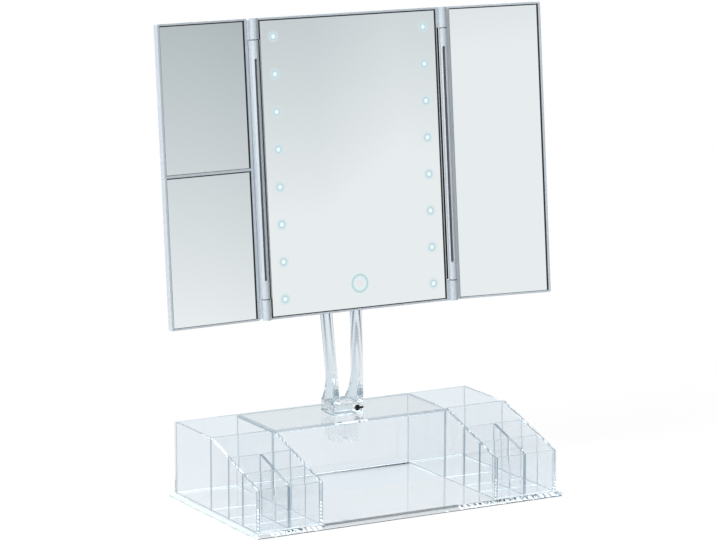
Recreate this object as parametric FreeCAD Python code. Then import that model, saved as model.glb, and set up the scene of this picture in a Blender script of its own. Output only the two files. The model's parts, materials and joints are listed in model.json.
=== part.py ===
import FreeCAD, Part
import math
import os

# Lighted makeup mirror: a centre panel with two folding wings, on two clear legs over a clear organiser.
# Millimetres. The origin is the centre of the base plate's underside.
# +X is to the viewer's right, +Y to the back, +Z up.

Vec = FreeCAD.Vector
X_AXIS = Vec(1, 0, 0)
Y_AXIS = Vec(0, 1, 0)
Z_AXIS = Vec(0, 0, 1)
SIDES = {"left": -1, "right": 1}

# Working values for all pieces
OVERRUN = 1.0
FIT_CLEARANCE = 0.15
PRESS_CLEARANCE = 0.02
RUNNING_CLEARANCE = 0.05
SAME = 1e-6
SCREW_RIM_SHARE = 0.35
SCREW_TOP_SHARE = 0.6

# Organiser: sheets of clear plastic bonded on a base plate
ORGANISER_WIDTH = 311.0
ORGANISER_DEPTH = 164.0
RIM_HEIGHT = 70.7
FRONT_HEIGHT = 42.4
SHEET = 3.0
PLATE_THICKNESS = 4.0
PLATE_FLANGE = 4.5
PLATE_FRONT_FLANGE = 7.0
PLATE_CORNER = 3.0
PLATE_BEVEL = 2.5
SLOPE_START = 8.0
INNER_WALL_X = 91.0
FIRST_CELL_DEPTH = 35.0
LAP_CLEARANCE = 0.1

# Stand foot: a collar on the deck with a plug that snaps through a guide tube
COLLAR_WIDTH = 31.5
COLLAR_DEPTH = 27.5
COLLAR_HEIGHT = 10.7
COLLAR_CORNER = 2.5
PLUG_WIDTH = 21.0
PLUG_DEPTH = 17.5
SOCKET_WALL = 2.2
SOCKET_LENGTH = 19.5
HOOK_HEIGHT = 4.5
HOOK_REACH = 1.8
HOOK_WIDTH = 5.0
PLUG_SLOT_WIDTH = 9.0
PLUG_SLOT_HEIGHT = 16.0

# Legs: two blades that flare towards the back at the foot and end in an ear at the tilt bolt
LEG_THICKNESS = 6.8
LEG_DEPTH = 14.0
LEG_EDGE = 1.8
LEG_FLARE_HEIGHT = 30.0
EAR_RADIUS = 7.5
EAR_SHOULDER = 0.45
TENON_WIDTH = 3.4
TENON_DEPTH = 14.0
TENON_LENGTH = 7.0
FOOT_SCREW_RADIUS = 1.5
FOOT_SCREW_HEAD_RADIUS = 2.8
FOOT_SCREW_HEAD_HEIGHT = 1.6
FOOT_SCREW_LENGTH = 9.0
FOOT_SCREW_INSET = 3.9
FOOT_SCREW_WING_REACH = 6.2
FOOT_SCREW_WING_WIDTH = 1.8
FOOT_SCREW_WING_HEIGHT = 0.9

# Tilt joint behind the centre panel
TILT_BOLT_RADIUS = 2.5
BOLT_HEAD_RADIUS = 4.5
BOLT_HEAD_HEIGHT = 2.8
NUT_SIDES = 6
NUT_RADIUS = 4.6
NUT_HEIGHT = 3.6
WASHER_RADIUS = 6.0
WASHER_THICKNESS = 0.6
LUG_GAP = 0.1
LUG_OUTER_X = 13.9
LUG_THICKNESS = 4.0
LUG_RADIUS = 6.5
LUG_WEB_HEIGHT = 4.0
LUG_WEB_DEPTH = 7.0
BRACKET_WIDTH = 44.0
BRACKET_HEIGHT = 38.0
BRACKET_THICKNESS = 2.5
BRACKET_CORNER = 4.0
BRACKET_SCREW_INSET = 5.0
BRACKET_SCREW_LENGTH = 9.0
BRACKET_POST_FLOOR = 1.0

# Mirror head: panel frame, in panel coordinates with the glass plane at Y = 0 and the lower edge at Z = 0
PANEL_FOOT_Y = 8.8
PANEL_FOOT_Z = 173.3
PANEL_TILT = 5.29
PANEL_HEIGHT = 272.0
PANEL_CORNER = 1.5
PANEL_FRONT_EDGE = 0.4
PIVOT_BACK = 39.5
PIVOT_UP = 62.0
LIP = 0.6
PANEL_LIP = 1.7
LINER = 0.3
LINER_SINK = 0.1
LINER_BASE = 0.5

# Wing hinges: knuckles on the centre frame at both ends of a long barrel on each wing
HINGE_FRONT = 1.6
BARREL_RADIUS = 3.75
HINGE_GAP = 2.25
KNUCKLE_LENGTH = 18.8
KNUCKLE_GAP = 0.3
HINGE_WEB_BACK = 2.4
HINGE_PIN_RADIUS = 2.0
HINGE_PIN_SINK = 1.0
SHIELD_THICKNESS = 0.5
SHIELD_FRONT = 0.3
SHIELD_BACK = 6.2
SHIELD_CLEARANCE = 0.6
GROOVE_WIDTH = 2.4
GROOVE_DEPTH = 2.0
GROOVE_INSET = 18.0
GROOVE_TURN = 18.0

# Centre panel
CENTRE_POCKET_WIDTH = 182.4
CENTRE_SIDE_LIP = 0.8
CENTRE_GAP_LEFT = 0.4
CENTRE_GAP_RIGHT = 1.5
CENTRE_GAP_BELOW = 0.9
CENTRE_GAP_ABOVE = 1.2
CENTRE_GLASS_THICKNESS = 2.5
WEB_THICKNESS = 2.0
FRAME_WALL = 2.0
FRAME_DEPTH = 8.0
COVER_WALL = 2.0
COVER_DEPTH = 7.0
COVER_EDGE = 4.0
LOCATING_RIM_WALL = 1.2
LOCATING_RIM_REACH = 1.5

# Lights and touch control
LED_COUNT = 8
LED_EDGE_X = 13.5
LED_EDGE_Z = 15.55
LED_WINDOW_RADIUS = 4.0
LED_HOLE_RADIUS = 4.6
LED_SIZE = 5.0
LED_HEIGHT = 1.6
STRIP_WIDTH = 10.0
STRIP_OVERHANG = 7.0
BOARD_THICKNESS = 1.2
TOUCH_UP = 24.6
TOUCH_RING_RADIUS = 8.9
TOUCH_RING_WIDTH = 2.2
TOUCH_RING_DEPTH = 0.8
TOUCH_PAD_RADIUS = 8.6
CONTROL_BOARD_WIDTH = 60.0
CONTROL_BOARD_HEIGHT = 30.0
WIRE_RADIUS = 0.8
WIRE_SPREAD = 6.0

# Battery bay on the back
CELL_COUNT = 4
CELL_RADIUS = 7.25
CELL_LENGTH = 49.2
CELL_NUB_RADIUS = 2.75
CELL_NUB_LENGTH = 1.3
CELL_GAP = 0.5
CONTACT_SPACE = 3.0
CONTACT_THICKNESS = 0.5
CONTACT_RADIUS = 3.2
BAY_RISE = 16.25
BAY_FLOOR = 1.5
BAY_WALL = 2.0
HUMP_RAIL = 3.2
HUMP_END = 4.5
HUMP_CORNER = 4.0
DOOR_THICKNESS = 2.0
DOOR_TONGUE = 1.2
DOOR_TONGUE_THICKNESS = 1.0
DOOR_SEAT = 1.6
DOOR_GRIP_COUNT = 5
DOOR_GRIP_WIDTH = 1.0
DOOR_GRIP_DEPTH = 0.6
DOOR_GRIP_PITCH = 2.2
DOOR_GRIP_LENGTH = 18.0
DOOR_GRIP_INSET = 7.0

# Power switch on the back
SWITCH_X = 62.0
SWITCH_UP = 62.0
SWITCH_RECESS_WIDTH = 20.0
SWITCH_RECESS_HEIGHT = 9.0
SWITCH_RECESS_DEPTH = 1.0
SWITCH_BODY_DEPTH = 4.5
KNOB_WIDTH = 4.6
KNOB_HEIGHT = 4.0
KNOB_TRAVEL = 4.0
KNOB_RISE = 0.3
KNOB_LIFT = 0.1
KNOB_CLEARANCE = 0.2

# Screws that hold the back cover
COVER_SCREW_X = 58.0
COVER_SCREW_INSET = 14.0
SCREW_RADIUS = 1.25
SCREW_HEAD_RADIUS = 2.4
SCREW_HEAD_HEIGHT = 1.4
SCREW_SINK = 1.6
BOSS_RADIUS = 3.5
BOSS_RISE = 3.0

# Wings
WING_SETBACK = 2.2
WING_GAP = 1.05
WING_POCKET_WIDTH = 87.7
WING_GAP_LEFT = 0.4
WING_GAP_RIGHT = 1.6
WING_GAP_BELOW = 0.4
WING_GAP_ABOVE = 1.1
WING_GLASS_THICKNESS = 2.0
WING_WEB = 1.2
WING_INNER_LIP = 2.7
WING_OUTER_LIP = 2.2
WING_WALL = 1.8
WING_FRAME_DEPTH = 4.6
WING_BACK_THICKNESS = 1.8
WING_BACK_EDGE_SHARE = 0.85
WING_RIB = 2.3
WING_RIB_RISE = 0.8
LEFT_WING_SWING = 4.5
RIGHT_WING_SWING = 11.7

# Places worked out from the sizes above
HALF_WIDTH = ORGANISER_WIDTH / 2
HALF_DEPTH = ORGANISER_DEPTH / 2
REAR_WALL_FRONT = HALF_DEPTH - SHEET
DECK_UNDERSIDE = RIM_HEIGHT - SHEET
CELL_INNER_X = INNER_WALL_X + SHEET / 2
CELL_OUTER_X = HALF_WIDTH - SHEET
DIVIDER_X = (CELL_INNER_X + CELL_OUTER_X) / 2
FRONT_WALL_BACK = SHEET - HALF_DEPTH
CROSS_WALL_2 = SLOPE_START - FIRST_CELL_DEPTH
CROSS_WALL_3 = (CROSS_WALL_2 - HALF_DEPTH) / 2
FOOT_Y = (SLOPE_START + HALF_DEPTH) / 2
COLLAR_TOP = RIM_HEIGHT + COLLAR_HEIGHT
SOCKET_BOTTOM = DECK_UNDERSIDE - SOCKET_LENGTH
LEG_FOOT_X = (COLLAR_WIDTH - LEG_THICKNESS) / 2
EAR_THICKNESS = LEG_THICKNESS + 2 * EAR_SHOULDER
LEG_TOP_X = LUG_OUTER_X + LUG_GAP + WASHER_THICKNESS + EAR_THICKNESS / 2
FOOT_SCREW_X = LEG_FOOT_X - FOOT_SCREW_INSET
FOOT_SCREW_Z = RIM_HEIGHT + COLLAR_HEIGHT / 2
POCKET_HALF = CENTRE_POCKET_WIDTH / 2
FRAME_HALF = POCKET_HALF + CENTRE_SIDE_LIP
HINGE_X = FRAME_HALF + HINGE_GAP + BARREL_RADIUS
KNUCKLE_ROOT = FRAME_HALF - CENTRE_SIDE_LIP / 2
POCKET_TOP = PANEL_HEIGHT - PANEL_LIP
CENTRE_GAPS = ((CENTRE_GAP_LEFT, CENTRE_GAP_RIGHT), (CENTRE_GAP_BELOW, CENTRE_GAP_ABOVE))
WING_GAPS = ((WING_GAP_LEFT, WING_GAP_RIGHT), (WING_GAP_BELOW, WING_GAP_ABOVE))
WEB_BACK = CENTRE_GLASS_THICKNESS + WEB_THICKNESS
COVER_BACK = FRAME_DEPTH + COVER_DEPTH
COVER_INSIDE = COVER_BACK - COVER_WALL
LED_X = POCKET_HALF - LED_EDGE_X
LED_FIRST = PANEL_LIP + LED_EDGE_Z
LED_PITCH = (POCKET_TOP - LED_EDGE_Z - LED_FIRST) / (LED_COUNT - 1)
BOARD_BACK = WEB_BACK + BOARD_THICKNESS
STRIP_BOTTOM = LED_FIRST - STRIP_OVERHANG
STRIP_TOP = POCKET_TOP - LED_EDGE_Z + STRIP_OVERHANG
BOARD_BOTTOM = TOUCH_UP - CONTROL_BOARD_HEIGHT / 2
BOARD_TOP = TOUCH_UP + CONTROL_BOARD_HEIGHT / 2
CELL_PITCH = 2 * CELL_RADIUS + CELL_GAP
BAY_HALF_WIDTH = CELL_COUNT * CELL_PITCH / 2 + FIT_CLEARANCE
BAY_HALF_LENGTH = (CELL_LENGTH + CELL_NUB_LENGTH) / 2 + CONTACT_SPACE
BAY_FLOOR_BACK = COVER_INSIDE - BAY_WALL
DOOR_FRONT = BAY_FLOOR_BACK + 2 * CELL_RADIUS + 2 * FIT_CLEARANCE
DOOR_BACK = DOOR_FRONT + DOOR_THICKNESS
DOOR_HALF_WIDTH = BAY_HALF_WIDTH + DOOR_SEAT
TONGUE_HALF_WIDTH = DOOR_HALF_WIDTH + DOOR_TONGUE
HUMP_HALF_WIDTH = TONGUE_HALF_WIDTH + HUMP_RAIL
HUMP_BOTTOM = PIVOT_UP + BRACKET_HEIGHT / 2 + BAY_RISE
BAY_UP = HUMP_BOTTOM + HUMP_END + BAY_HALF_LENGTH
HUMP_TOP = BAY_UP + BAY_HALF_LENGTH + HUMP_END
DOOR_BOTTOM = HUMP_BOTTOM + HUMP_END - DOOR_SEAT
BOSS_TOP = WEB_BACK + BOSS_RISE
COVER_SCREW_LENGTH = COVER_BACK - SCREW_SINK - WEB_BACK
BRACKET_SCREW_REACH = BRACKET_SCREW_LENGTH - BRACKET_THICKNESS
WING_INNER = HINGE_X + BARREL_RADIUS + WING_GAP
WING_POCKET_INNER = WING_INNER + WING_INNER_LIP
WING_POCKET_OUTER = WING_POCKET_INNER + WING_POCKET_WIDTH
WING_OUTER = WING_POCKET_OUTER + WING_OUTER_LIP
WING_WEB_BACK = WING_GLASS_THICKNESS + WING_WEB
WING_LEAF_BACK = WING_SETBACK + HINGE_WEB_BACK
WING_BACK = WING_FRAME_DEPTH + WING_BACK_THICKNESS
WING_MIDDLE = PANEL_HEIGHT / 2
BARREL_BOTTOM = KNUCKLE_LENGTH + KNUCKLE_GAP
BARREL_TOP = PANEL_HEIGHT - BARREL_BOTTOM
KNUCKLES = ((0, KNUCKLE_LENGTH), (PANEL_HEIGHT - KNUCKLE_LENGTH, PANEL_HEIGHT))

HEAD_PLACE = FreeCAD.Placement(Vec(0, PANEL_FOOT_Y, PANEL_FOOT_Z), FreeCAD.Rotation(X_AXIS, -PANEL_TILT))
PIVOT = HEAD_PLACE.multVec(Vec(0, PIVOT_BACK, PIVOT_UP))


# Shape helpers
def block(x, y, z):
    """Box between pairs of low and high values."""
    return Part.makeBox(x[1] - x[0], y[1] - y[0], z[1] - z[0], Vec(x[0], y[0], z[0]))


def centred(half):
    """Pair of values about zero."""
    return (-half, half)


def about(middle, size):
    """Pair of values about a middle."""
    return (middle - size / 2, middle + size / 2)


def on_side(side, near, far):
    """Pair of X values on one side of the middle plane, in rising order."""
    return tuple(sorted((side * near, side * far)))


def rod(radius, start, direction, length):
    return Part.makeCylinder(radius, length, start, direction)


def prism(points, along):
    outline = Part.makePolygon(list(points) + [points[0]])
    return Part.Face(outline).extrude(along)


def parallel_edges(shape, axis):
    """Straight edges that run along an axis."""
    chosen = []
    for edge in shape.Edges:
        along = abs(edge.tangentAt(edge.FirstParameter).dot(axis))
        if isinstance(edge.Curve, Part.Line) and abs(along - 1) < SAME:
            chosen.append(edge)
    return chosen


def edges_at_y(shape, y):
    """Edges that lie wholly at one depth."""
    return [e for e in shape.Edges if abs(e.BoundBox.YMin - y) < SAME and abs(e.BoundBox.YMax - y) < SAME]


def rounded_block(x, y, z, corner):
    """Box with its four edges along Y rounded."""
    plain = block(x, y, z)
    return plain.makeFillet(corner, parallel_edges(plain, Y_AXIS))


def screw(head_radius, head_height, shank_radius, length, seat, direction):
    """Screw with a coned head that bears on the point seat and a shank that runs along direction."""
    rim_height = head_height * SCREW_RIM_SHARE
    rim = rod(head_radius, Vec(0, 0, 0), Z_AXIS, rim_height)
    top = Part.makeCone(head_radius, head_radius * SCREW_TOP_SHARE, head_height - rim_height,
                        Vec(0, 0, rim_height), Z_AXIS)
    shank = rod(shank_radius, Vec(0, 0, -length), Z_AXIS, length)
    shape = rim.fuse([top, shank]).removeSplitter()
    shape.Placement = FreeCAD.Placement(seat, FreeCAD.Rotation(Z_AXIS, direction * -1))
    return shape


def group(shapes):
    return Part.makeCompound(shapes)


# Organiser
def slope_height(y):
    """Height of the side walls' upper edge, level at the back and sloping down to the front."""
    if y >= SLOPE_START:
        return RIM_HEIGHT
    share = (SLOPE_START - y) / (SLOPE_START + HALF_DEPTH)
    return RIM_HEIGHT - share * (RIM_HEIGHT - FRONT_HEIGHT)


def base_plate():
    size_x = centred(HALF_WIDTH + PLATE_FLANGE)
    size_y = (-HALF_DEPTH - PLATE_FRONT_FLANGE, HALF_DEPTH + PLATE_FLANGE)
    plate = block(size_x, size_y, (0, PLATE_THICKNESS))
    plate = plate.makeFillet(PLATE_CORNER, parallel_edges(plate, Z_AXIS))
    rim = [e for e in plate.Edges if abs(e.BoundBox.ZMin - PLATE_THICKNESS) < SAME]
    return plate.makeChamfer(PLATE_BEVEL, rim)


def rear_wall():
    return block(centred(HALF_WIDTH), (REAR_WALL_FRONT, HALF_DEPTH), (PLATE_THICKNESS, RIM_HEIGHT))


def side_wall(x):
    """Wall along Y between the rear wall and the front, level and then sloping."""
    points = [
        Vec(x[0], REAR_WALL_FRONT, PLATE_THICKNESS),
        Vec(x[0], -HALF_DEPTH, PLATE_THICKNESS),
        Vec(x[0], -HALF_DEPTH, FRONT_HEIGHT),
        Vec(x[0], SLOPE_START, RIM_HEIGHT),
        Vec(x[0], REAR_WALL_FRONT, RIM_HEIGHT),
    ]
    return prism(points, Vec(x[1] - x[0], 0, 0))


def cross_wall(side, front):
    """Wall along X between an inner and an outer wall, cut level with the slope at its front face."""
    x = on_side(side, CELL_INNER_X, CELL_OUTER_X)
    return block(x, (front, front + SHEET), (PLATE_THICKNESS, slope_height(front)))


def lap_height():
    return (PLATE_THICKNESS + slope_height(CROSS_WALL_3)) / 2


def lapped_cross_wall(side):
    """Third cross wall, slotted from below where the divider crosses it."""
    wall = cross_wall(side, CROSS_WALL_3)
    slot_x = about(side * DIVIDER_X, SHEET + 2 * LAP_CLEARANCE)
    slot_y = (CROSS_WALL_3 - OVERRUN, CROSS_WALL_3 + SHEET + OVERRUN)
    slot = block(slot_x, slot_y, (PLATE_THICKNESS - OVERRUN, lap_height()))
    return wall.cut(slot)


def divider(side):
    """Wall along Y between the wells, slotted from above at the third cross wall."""
    x = about(side * DIVIDER_X, SHEET)
    points = [
        Vec(x[0], CROSS_WALL_2, PLATE_THICKNESS),
        Vec(x[0], FRONT_WALL_BACK, PLATE_THICKNESS),
        Vec(x[0], FRONT_WALL_BACK, slope_height(FRONT_WALL_BACK)),
        Vec(x[0], CROSS_WALL_2, slope_height(CROSS_WALL_2)),
    ]
    wall = prism(points, Vec(SHEET, 0, 0))
    slot_x = (x[0] - OVERRUN, x[1] + OVERRUN)
    slot_y = (CROSS_WALL_3 - LAP_CLEARANCE, CROSS_WALL_3 + SHEET + LAP_CLEARANCE)
    slot = block(slot_x, slot_y, (lap_height(), RIM_HEIGHT))
    return wall.cut(slot)


def deck_front_wall():
    x = centred(INNER_WALL_X - SHEET / 2)
    return block(x, (SLOPE_START, SLOPE_START + SHEET), (PLATE_THICKNESS, DECK_UNDERSIDE))


def plug_opening(z):
    """Space that the stand's plug needs."""
    x = centred(PLUG_WIDTH / 2 + FIT_CLEARANCE)
    y = about(FOOT_Y, PLUG_DEPTH + 2 * FIT_CLEARANCE)
    return block(x, y, z)


def deck_plate():
    x = centred(INNER_WALL_X - SHEET / 2)
    deck = block(x, (SLOPE_START, REAR_WALL_FRONT), (DECK_UNDERSIDE, RIM_HEIGHT))
    return deck.cut(plug_opening((DECK_UNDERSIDE - OVERRUN, RIM_HEIGHT + OVERRUN)))


def foot_socket():
    x = centred(PLUG_WIDTH / 2 + FIT_CLEARANCE + SOCKET_WALL)
    y = about(FOOT_Y, PLUG_DEPTH + 2 * FIT_CLEARANCE + 2 * SOCKET_WALL)
    tube = block(x, y, (SOCKET_BOTTOM, DECK_UNDERSIDE))
    return tube.cut(plug_opening((SOCKET_BOTTOM - OVERRUN, DECK_UNDERSIDE + OVERRUN)))


# Stand
def tenon_space(side, clearance):
    x = about(side * LEG_FOOT_X, TENON_WIDTH + 2 * clearance)
    y = about(FOOT_Y, TENON_DEPTH + 2 * clearance)
    return block(x, y, (COLLAR_TOP - TENON_LENGTH - clearance, COLLAR_TOP))


def foot_screw_seat():
    return Vec(FOOT_SCREW_X, FOOT_Y - COLLAR_DEPTH / 2, FOOT_SCREW_Z)


def foot_screw():
    """Thumb screw with a flat wing that points to the right."""
    seat = foot_screw_seat()
    shape = screw(FOOT_SCREW_HEAD_RADIUS, FOOT_SCREW_HEAD_HEIGHT, FOOT_SCREW_RADIUS, FOOT_SCREW_LENGTH,
                  seat, Y_AXIS)
    wing_y = (seat.y - FOOT_SCREW_WING_HEIGHT, seat.y)
    wing = block((seat.x, seat.x + FOOT_SCREW_WING_REACH), wing_y, about(seat.z, FOOT_SCREW_WING_WIDTH))
    return shape.fuse(wing).removeSplitter()


def foot_screw_hole():
    radius = FOOT_SCREW_RADIUS + PRESS_CLEARANCE
    return rod(radius, foot_screw_seat(), Y_AXIS, FOOT_SCREW_LENGTH + FIT_CLEARANCE)


def snap_hook(side, y):
    """Wedge on the plug that catches under the guide tube."""
    face = side * PLUG_WIDTH / 2
    top = SOCKET_BOTTOM - FIT_CLEARANCE
    points = [
        Vec(face, y - HOOK_WIDTH / 2, top),
        Vec(face + side * HOOK_REACH, y - HOOK_WIDTH / 2, top),
        Vec(face, y - HOOK_WIDTH / 2, SOCKET_BOTTOM - HOOK_HEIGHT),
    ]
    return prism(points, Vec(0, HOOK_WIDTH, 0))


def stand_foot():
    collar = block(centred(COLLAR_WIDTH / 2), about(FOOT_Y, COLLAR_DEPTH), (RIM_HEIGHT, COLLAR_TOP))
    collar = collar.makeFillet(COLLAR_CORNER, parallel_edges(collar, Z_AXIS))
    plug_bottom = SOCKET_BOTTOM - HOOK_HEIGHT
    plug = block(centred(PLUG_WIDTH / 2), about(FOOT_Y, PLUG_DEPTH), (plug_bottom, RIM_HEIGHT))
    hooks = []
    for side in SIDES.values():
        for end in (-1, 1):
            hooks.append(snap_hook(side, FOOT_Y + end * (PLUG_DEPTH - HOOK_WIDTH) / 2))
    foot = collar.fuse([plug] + hooks).removeSplitter()
    slot_y = about(FOOT_Y, PLUG_DEPTH + 2 * OVERRUN)
    slot_z = (plug_bottom - OVERRUN, plug_bottom + PLUG_SLOT_HEIGHT)
    foot = foot.cut(block(centred(PLUG_SLOT_WIDTH / 2), slot_y, slot_z))
    pockets = [tenon_space(side, FIT_CLEARANCE) for side in SIDES.values()]
    return foot.cut(pockets + [foot_screw_hole()])


def leg_outline():
    """Side view of a leg as points (Y, Z): front edge, rear edge and the arc of the flare."""
    foot_front = (FOOT_Y - COLLAR_DEPTH / 2, COLLAR_TOP)
    foot_back = (FOOT_Y + COLLAR_DEPTH / 2, COLLAR_TOP)
    top_front = (PIVOT.y - LEG_DEPTH / 2, PIVOT.z)
    top_back = (PIVOT.y + LEG_DEPTH / 2, PIVOT.z)
    lean = (top_front[0] - foot_front[0]) / (top_front[1] - foot_front[1])
    flare_start = (foot_front[0] + LEG_DEPTH + lean * LEG_FLARE_HEIGHT, COLLAR_TOP + LEG_FLARE_HEIGHT)
    length = math.hypot(lean, 1)
    normal = (1 / length, -lean / length)
    chord = (foot_back[0] - flare_start[0], foot_back[1] - flare_start[1])
    reach = chord[0] * normal[0] + chord[1] * normal[1]
    radius = (chord[0] ** 2 + chord[1] ** 2) / (2 * reach)
    centre = (flare_start[0] + radius * normal[0], flare_start[1] + radius * normal[1])
    inward = (flare_start[0] + foot_back[0] - 2 * centre[0], flare_start[1] + foot_back[1] - 2 * centre[1])
    inward_length = math.hypot(inward[0], inward[1])
    middle = (centre[0] + radius * inward[0] / inward_length, centre[1] + radius * inward[1] / inward_length)
    return foot_front, top_front, top_back, flare_start, middle, foot_back


def leg(side):
    """Blade that leans out from the foot to the ear, with a tenon below and the bolt's bore above."""
    lean_out = (LEG_TOP_X - LEG_FOOT_X) / (PIVOT.z - COLLAR_TOP)

    def place(point):
        middle = side * (LEG_FOOT_X + lean_out * (point[1] - COLLAR_TOP))
        return Vec(middle - LEG_THICKNESS / 2, point[0], point[1])

    foot_front, top_front, top_back, flare_start, flare_middle, foot_back = [place(p) for p in leg_outline()]
    edges = [
        Part.LineSegment(foot_front, top_front).toShape(),
        Part.LineSegment(top_front, top_back).toShape(),
        Part.LineSegment(top_back, flare_start).toShape(),
        Part.Arc(flare_start, flare_middle, foot_back).toShape(),
        Part.LineSegment(foot_back, foot_front).toShape(),
    ]
    blade = Part.Face(Part.Wire(edges)).extrude(Vec(LEG_THICKNESS, 0, 0))
    long_edges = [e for e in blade.Edges if e.BoundBox.ZLength > LEG_FLARE_HEIGHT / 2]
    blade = blade.makeFillet(LEG_EDGE, long_edges)
    ear_start = Vec(side * LEG_TOP_X - EAR_THICKNESS / 2, PIVOT.y, PIVOT.z)
    ear = rod(EAR_RADIUS, ear_start, X_AXIS, EAR_THICKNESS)
    shape = blade.fuse([ear, tenon_space(side, 0)]).removeSplitter()
    bore_start = ear_start - X_AXIS * OVERRUN
    bore = rod(TILT_BOLT_RADIUS + RUNNING_CLEARANCE, bore_start, X_AXIS, EAR_THICKNESS + 2 * OVERRUN)
    return shape.cut(bore)


def tilt_bolt():
    outside = LEG_TOP_X + EAR_THICKNESS / 2
    seat = Vec(-outside, PIVOT.y, PIVOT.z)
    length = 2 * outside + NUT_HEIGHT
    return screw(BOLT_HEAD_RADIUS, BOLT_HEAD_HEIGHT, TILT_BOLT_RADIUS, length, seat, X_AXIS)


def tilt_nut():
    start = Vec(LEG_TOP_X + EAR_THICKNESS / 2, PIVOT.y, PIVOT.z)
    corners = []
    for index in range(NUT_SIDES):
        angle = 2 * math.pi * index / NUT_SIDES
        corners.append(start + Vec(0, NUT_RADIUS * math.cos(angle), NUT_RADIUS * math.sin(angle)))
    nut = prism(corners, X_AXIS * NUT_HEIGHT)
    bore_start = start - X_AXIS * OVERRUN
    return nut.cut(rod(TILT_BOLT_RADIUS + PRESS_CLEARANCE, bore_start, X_AXIS, NUT_HEIGHT + 2 * OVERRUN))


def friction_washers():
    washers = []
    for side in SIDES.values():
        low = min(side * (LUG_OUTER_X + LUG_GAP), side * (LUG_OUTER_X + LUG_GAP + WASHER_THICKNESS))
        start = Vec(low, PIVOT.y, PIVOT.z)
        disc = rod(WASHER_RADIUS, start, X_AXIS, WASHER_THICKNESS)
        washers.append(disc.cut(rod(TILT_BOLT_RADIUS + RUNNING_CLEARANCE, start, X_AXIS, WASHER_THICKNESS)))
    return group(washers)


# Tilt bracket on the back cover, in panel coordinates
def bracket_screw_places():
    places = []
    for side in SIDES.values():
        for end in (-1, 1):
            x = side * (BRACKET_WIDTH / 2 - BRACKET_SCREW_INSET)
            z = PIVOT_UP + end * (BRACKET_HEIGHT / 2 - BRACKET_SCREW_INSET)
            places.append(Vec(x, COVER_BACK, z))
    return places


def tilt_bracket():
    back = COVER_BACK + BRACKET_THICKNESS
    plate = rounded_block(centred(BRACKET_WIDTH / 2), (COVER_BACK, back), about(PIVOT_UP, BRACKET_HEIGHT),
                          BRACKET_CORNER)
    pieces = []
    for side in SIDES.values():
        x = on_side(side, LUG_OUTER_X - LUG_THICKNESS, LUG_OUTER_X)
        pieces.append(block(x, (COVER_BACK, PIVOT_BACK), about(PIVOT_UP, 2 * LUG_RADIUS)))
        pieces.append(rod(LUG_RADIUS, Vec(x[0], PIVOT_BACK, PIVOT_UP), X_AXIS, LUG_THICKNESS))
    web_y = (COVER_BACK, back + LUG_WEB_DEPTH)
    pieces.append(block(centred(LUG_OUTER_X - LUG_THICKNESS / 2), web_y, about(PIVOT_UP, LUG_WEB_HEIGHT)))
    bracket = plate.fuse(pieces).removeSplitter()
    bore_start = Vec(-LUG_OUTER_X - OVERRUN, PIVOT_BACK, PIVOT_UP)
    cuts = [rod(TILT_BOLT_RADIUS + RUNNING_CLEARANCE, bore_start, X_AXIS, 2 * (LUG_OUTER_X + OVERRUN))]
    for place in bracket_screw_places():
        cuts.append(rod(SCREW_RADIUS + FIT_CLEARANCE, place, Y_AXIS, BRACKET_THICKNESS + OVERRUN))
    return bracket.cut(cuts)


def bracket_screws():
    back = Vec(0, BRACKET_THICKNESS, 0)
    screws = []
    for place in bracket_screw_places():
        screws.append(screw(SCREW_HEAD_RADIUS, SCREW_HEAD_HEIGHT, SCREW_RADIUS, BRACKET_SCREW_LENGTH,
                            place + back, Y_AXIS * -1))
    return group(screws)


# Centre panel
def led_places(y):
    places = []
    for side in SIDES.values():
        for index in range(LED_COUNT):
            places.append(Vec(side * LED_X, y, LED_FIRST + index * LED_PITCH))
    return places


def cover_screw_places(y):
    places = []
    for side in SIDES.values():
        for z in (COVER_SCREW_INSET, PANEL_HEIGHT / 2, PANEL_HEIGHT - COVER_SCREW_INSET):
            places.append(Vec(side * COVER_SCREW_X, y, z))
    return places


def knuckle(side, z):
    """Round hinge end on the centre frame with the web that carries it."""
    axis_start = Vec(side * HINGE_X, -HINGE_FRONT, z[0])
    barrel = rod(BARREL_RADIUS, axis_start, Z_AXIS, z[1] - z[0])
    web = block(on_side(side, KNUCKLE_ROOT, HINGE_X), (-LIP, HINGE_WEB_BACK), z)
    return barrel.fuse(web)


def hinge_pin_span(z):
    """Low and high ends of the pin that runs from the knuckle at z to the middle of the wing's barrel."""
    if z[0] == 0:
        return (HINGE_PIN_SINK, WING_MIDDLE - KNUCKLE_GAP / 2)
    return (WING_MIDDLE + KNUCKLE_GAP / 2, PANEL_HEIGHT - HINGE_PIN_SINK)


def hinge_pin(side, z):
    low, high = hinge_pin_span(z)
    return rod(HINGE_PIN_RADIUS, Vec(side * HINGE_X, -HINGE_FRONT, low), Z_AXIS, high - low)


def panel_front(x, depth):
    """Frame body of a panel: rounded corners and an eased front edge."""
    body = rounded_block(x, (-LIP, depth), (0, PANEL_HEIGHT), PANEL_CORNER)
    return body.makeFillet(PANEL_FRONT_EDGE, edges_at_y(body, -LIP))


def narrowed(pair, low_margin, high_margin):
    return (pair[0] + low_margin, pair[1] - high_margin)


def glass_pocket(x, z, floor):
    """Space in the front of a frame that takes a glass."""
    return block(x, (-LIP - OVERRUN, floor), z)


def seated_glass(x, z, thickness, gaps):
    """Glass in its pocket, with the gaps that are left on its four sides."""
    return block(narrowed(x, *gaps[0]), (0, thickness), narrowed(z, *gaps[1]))


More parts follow.
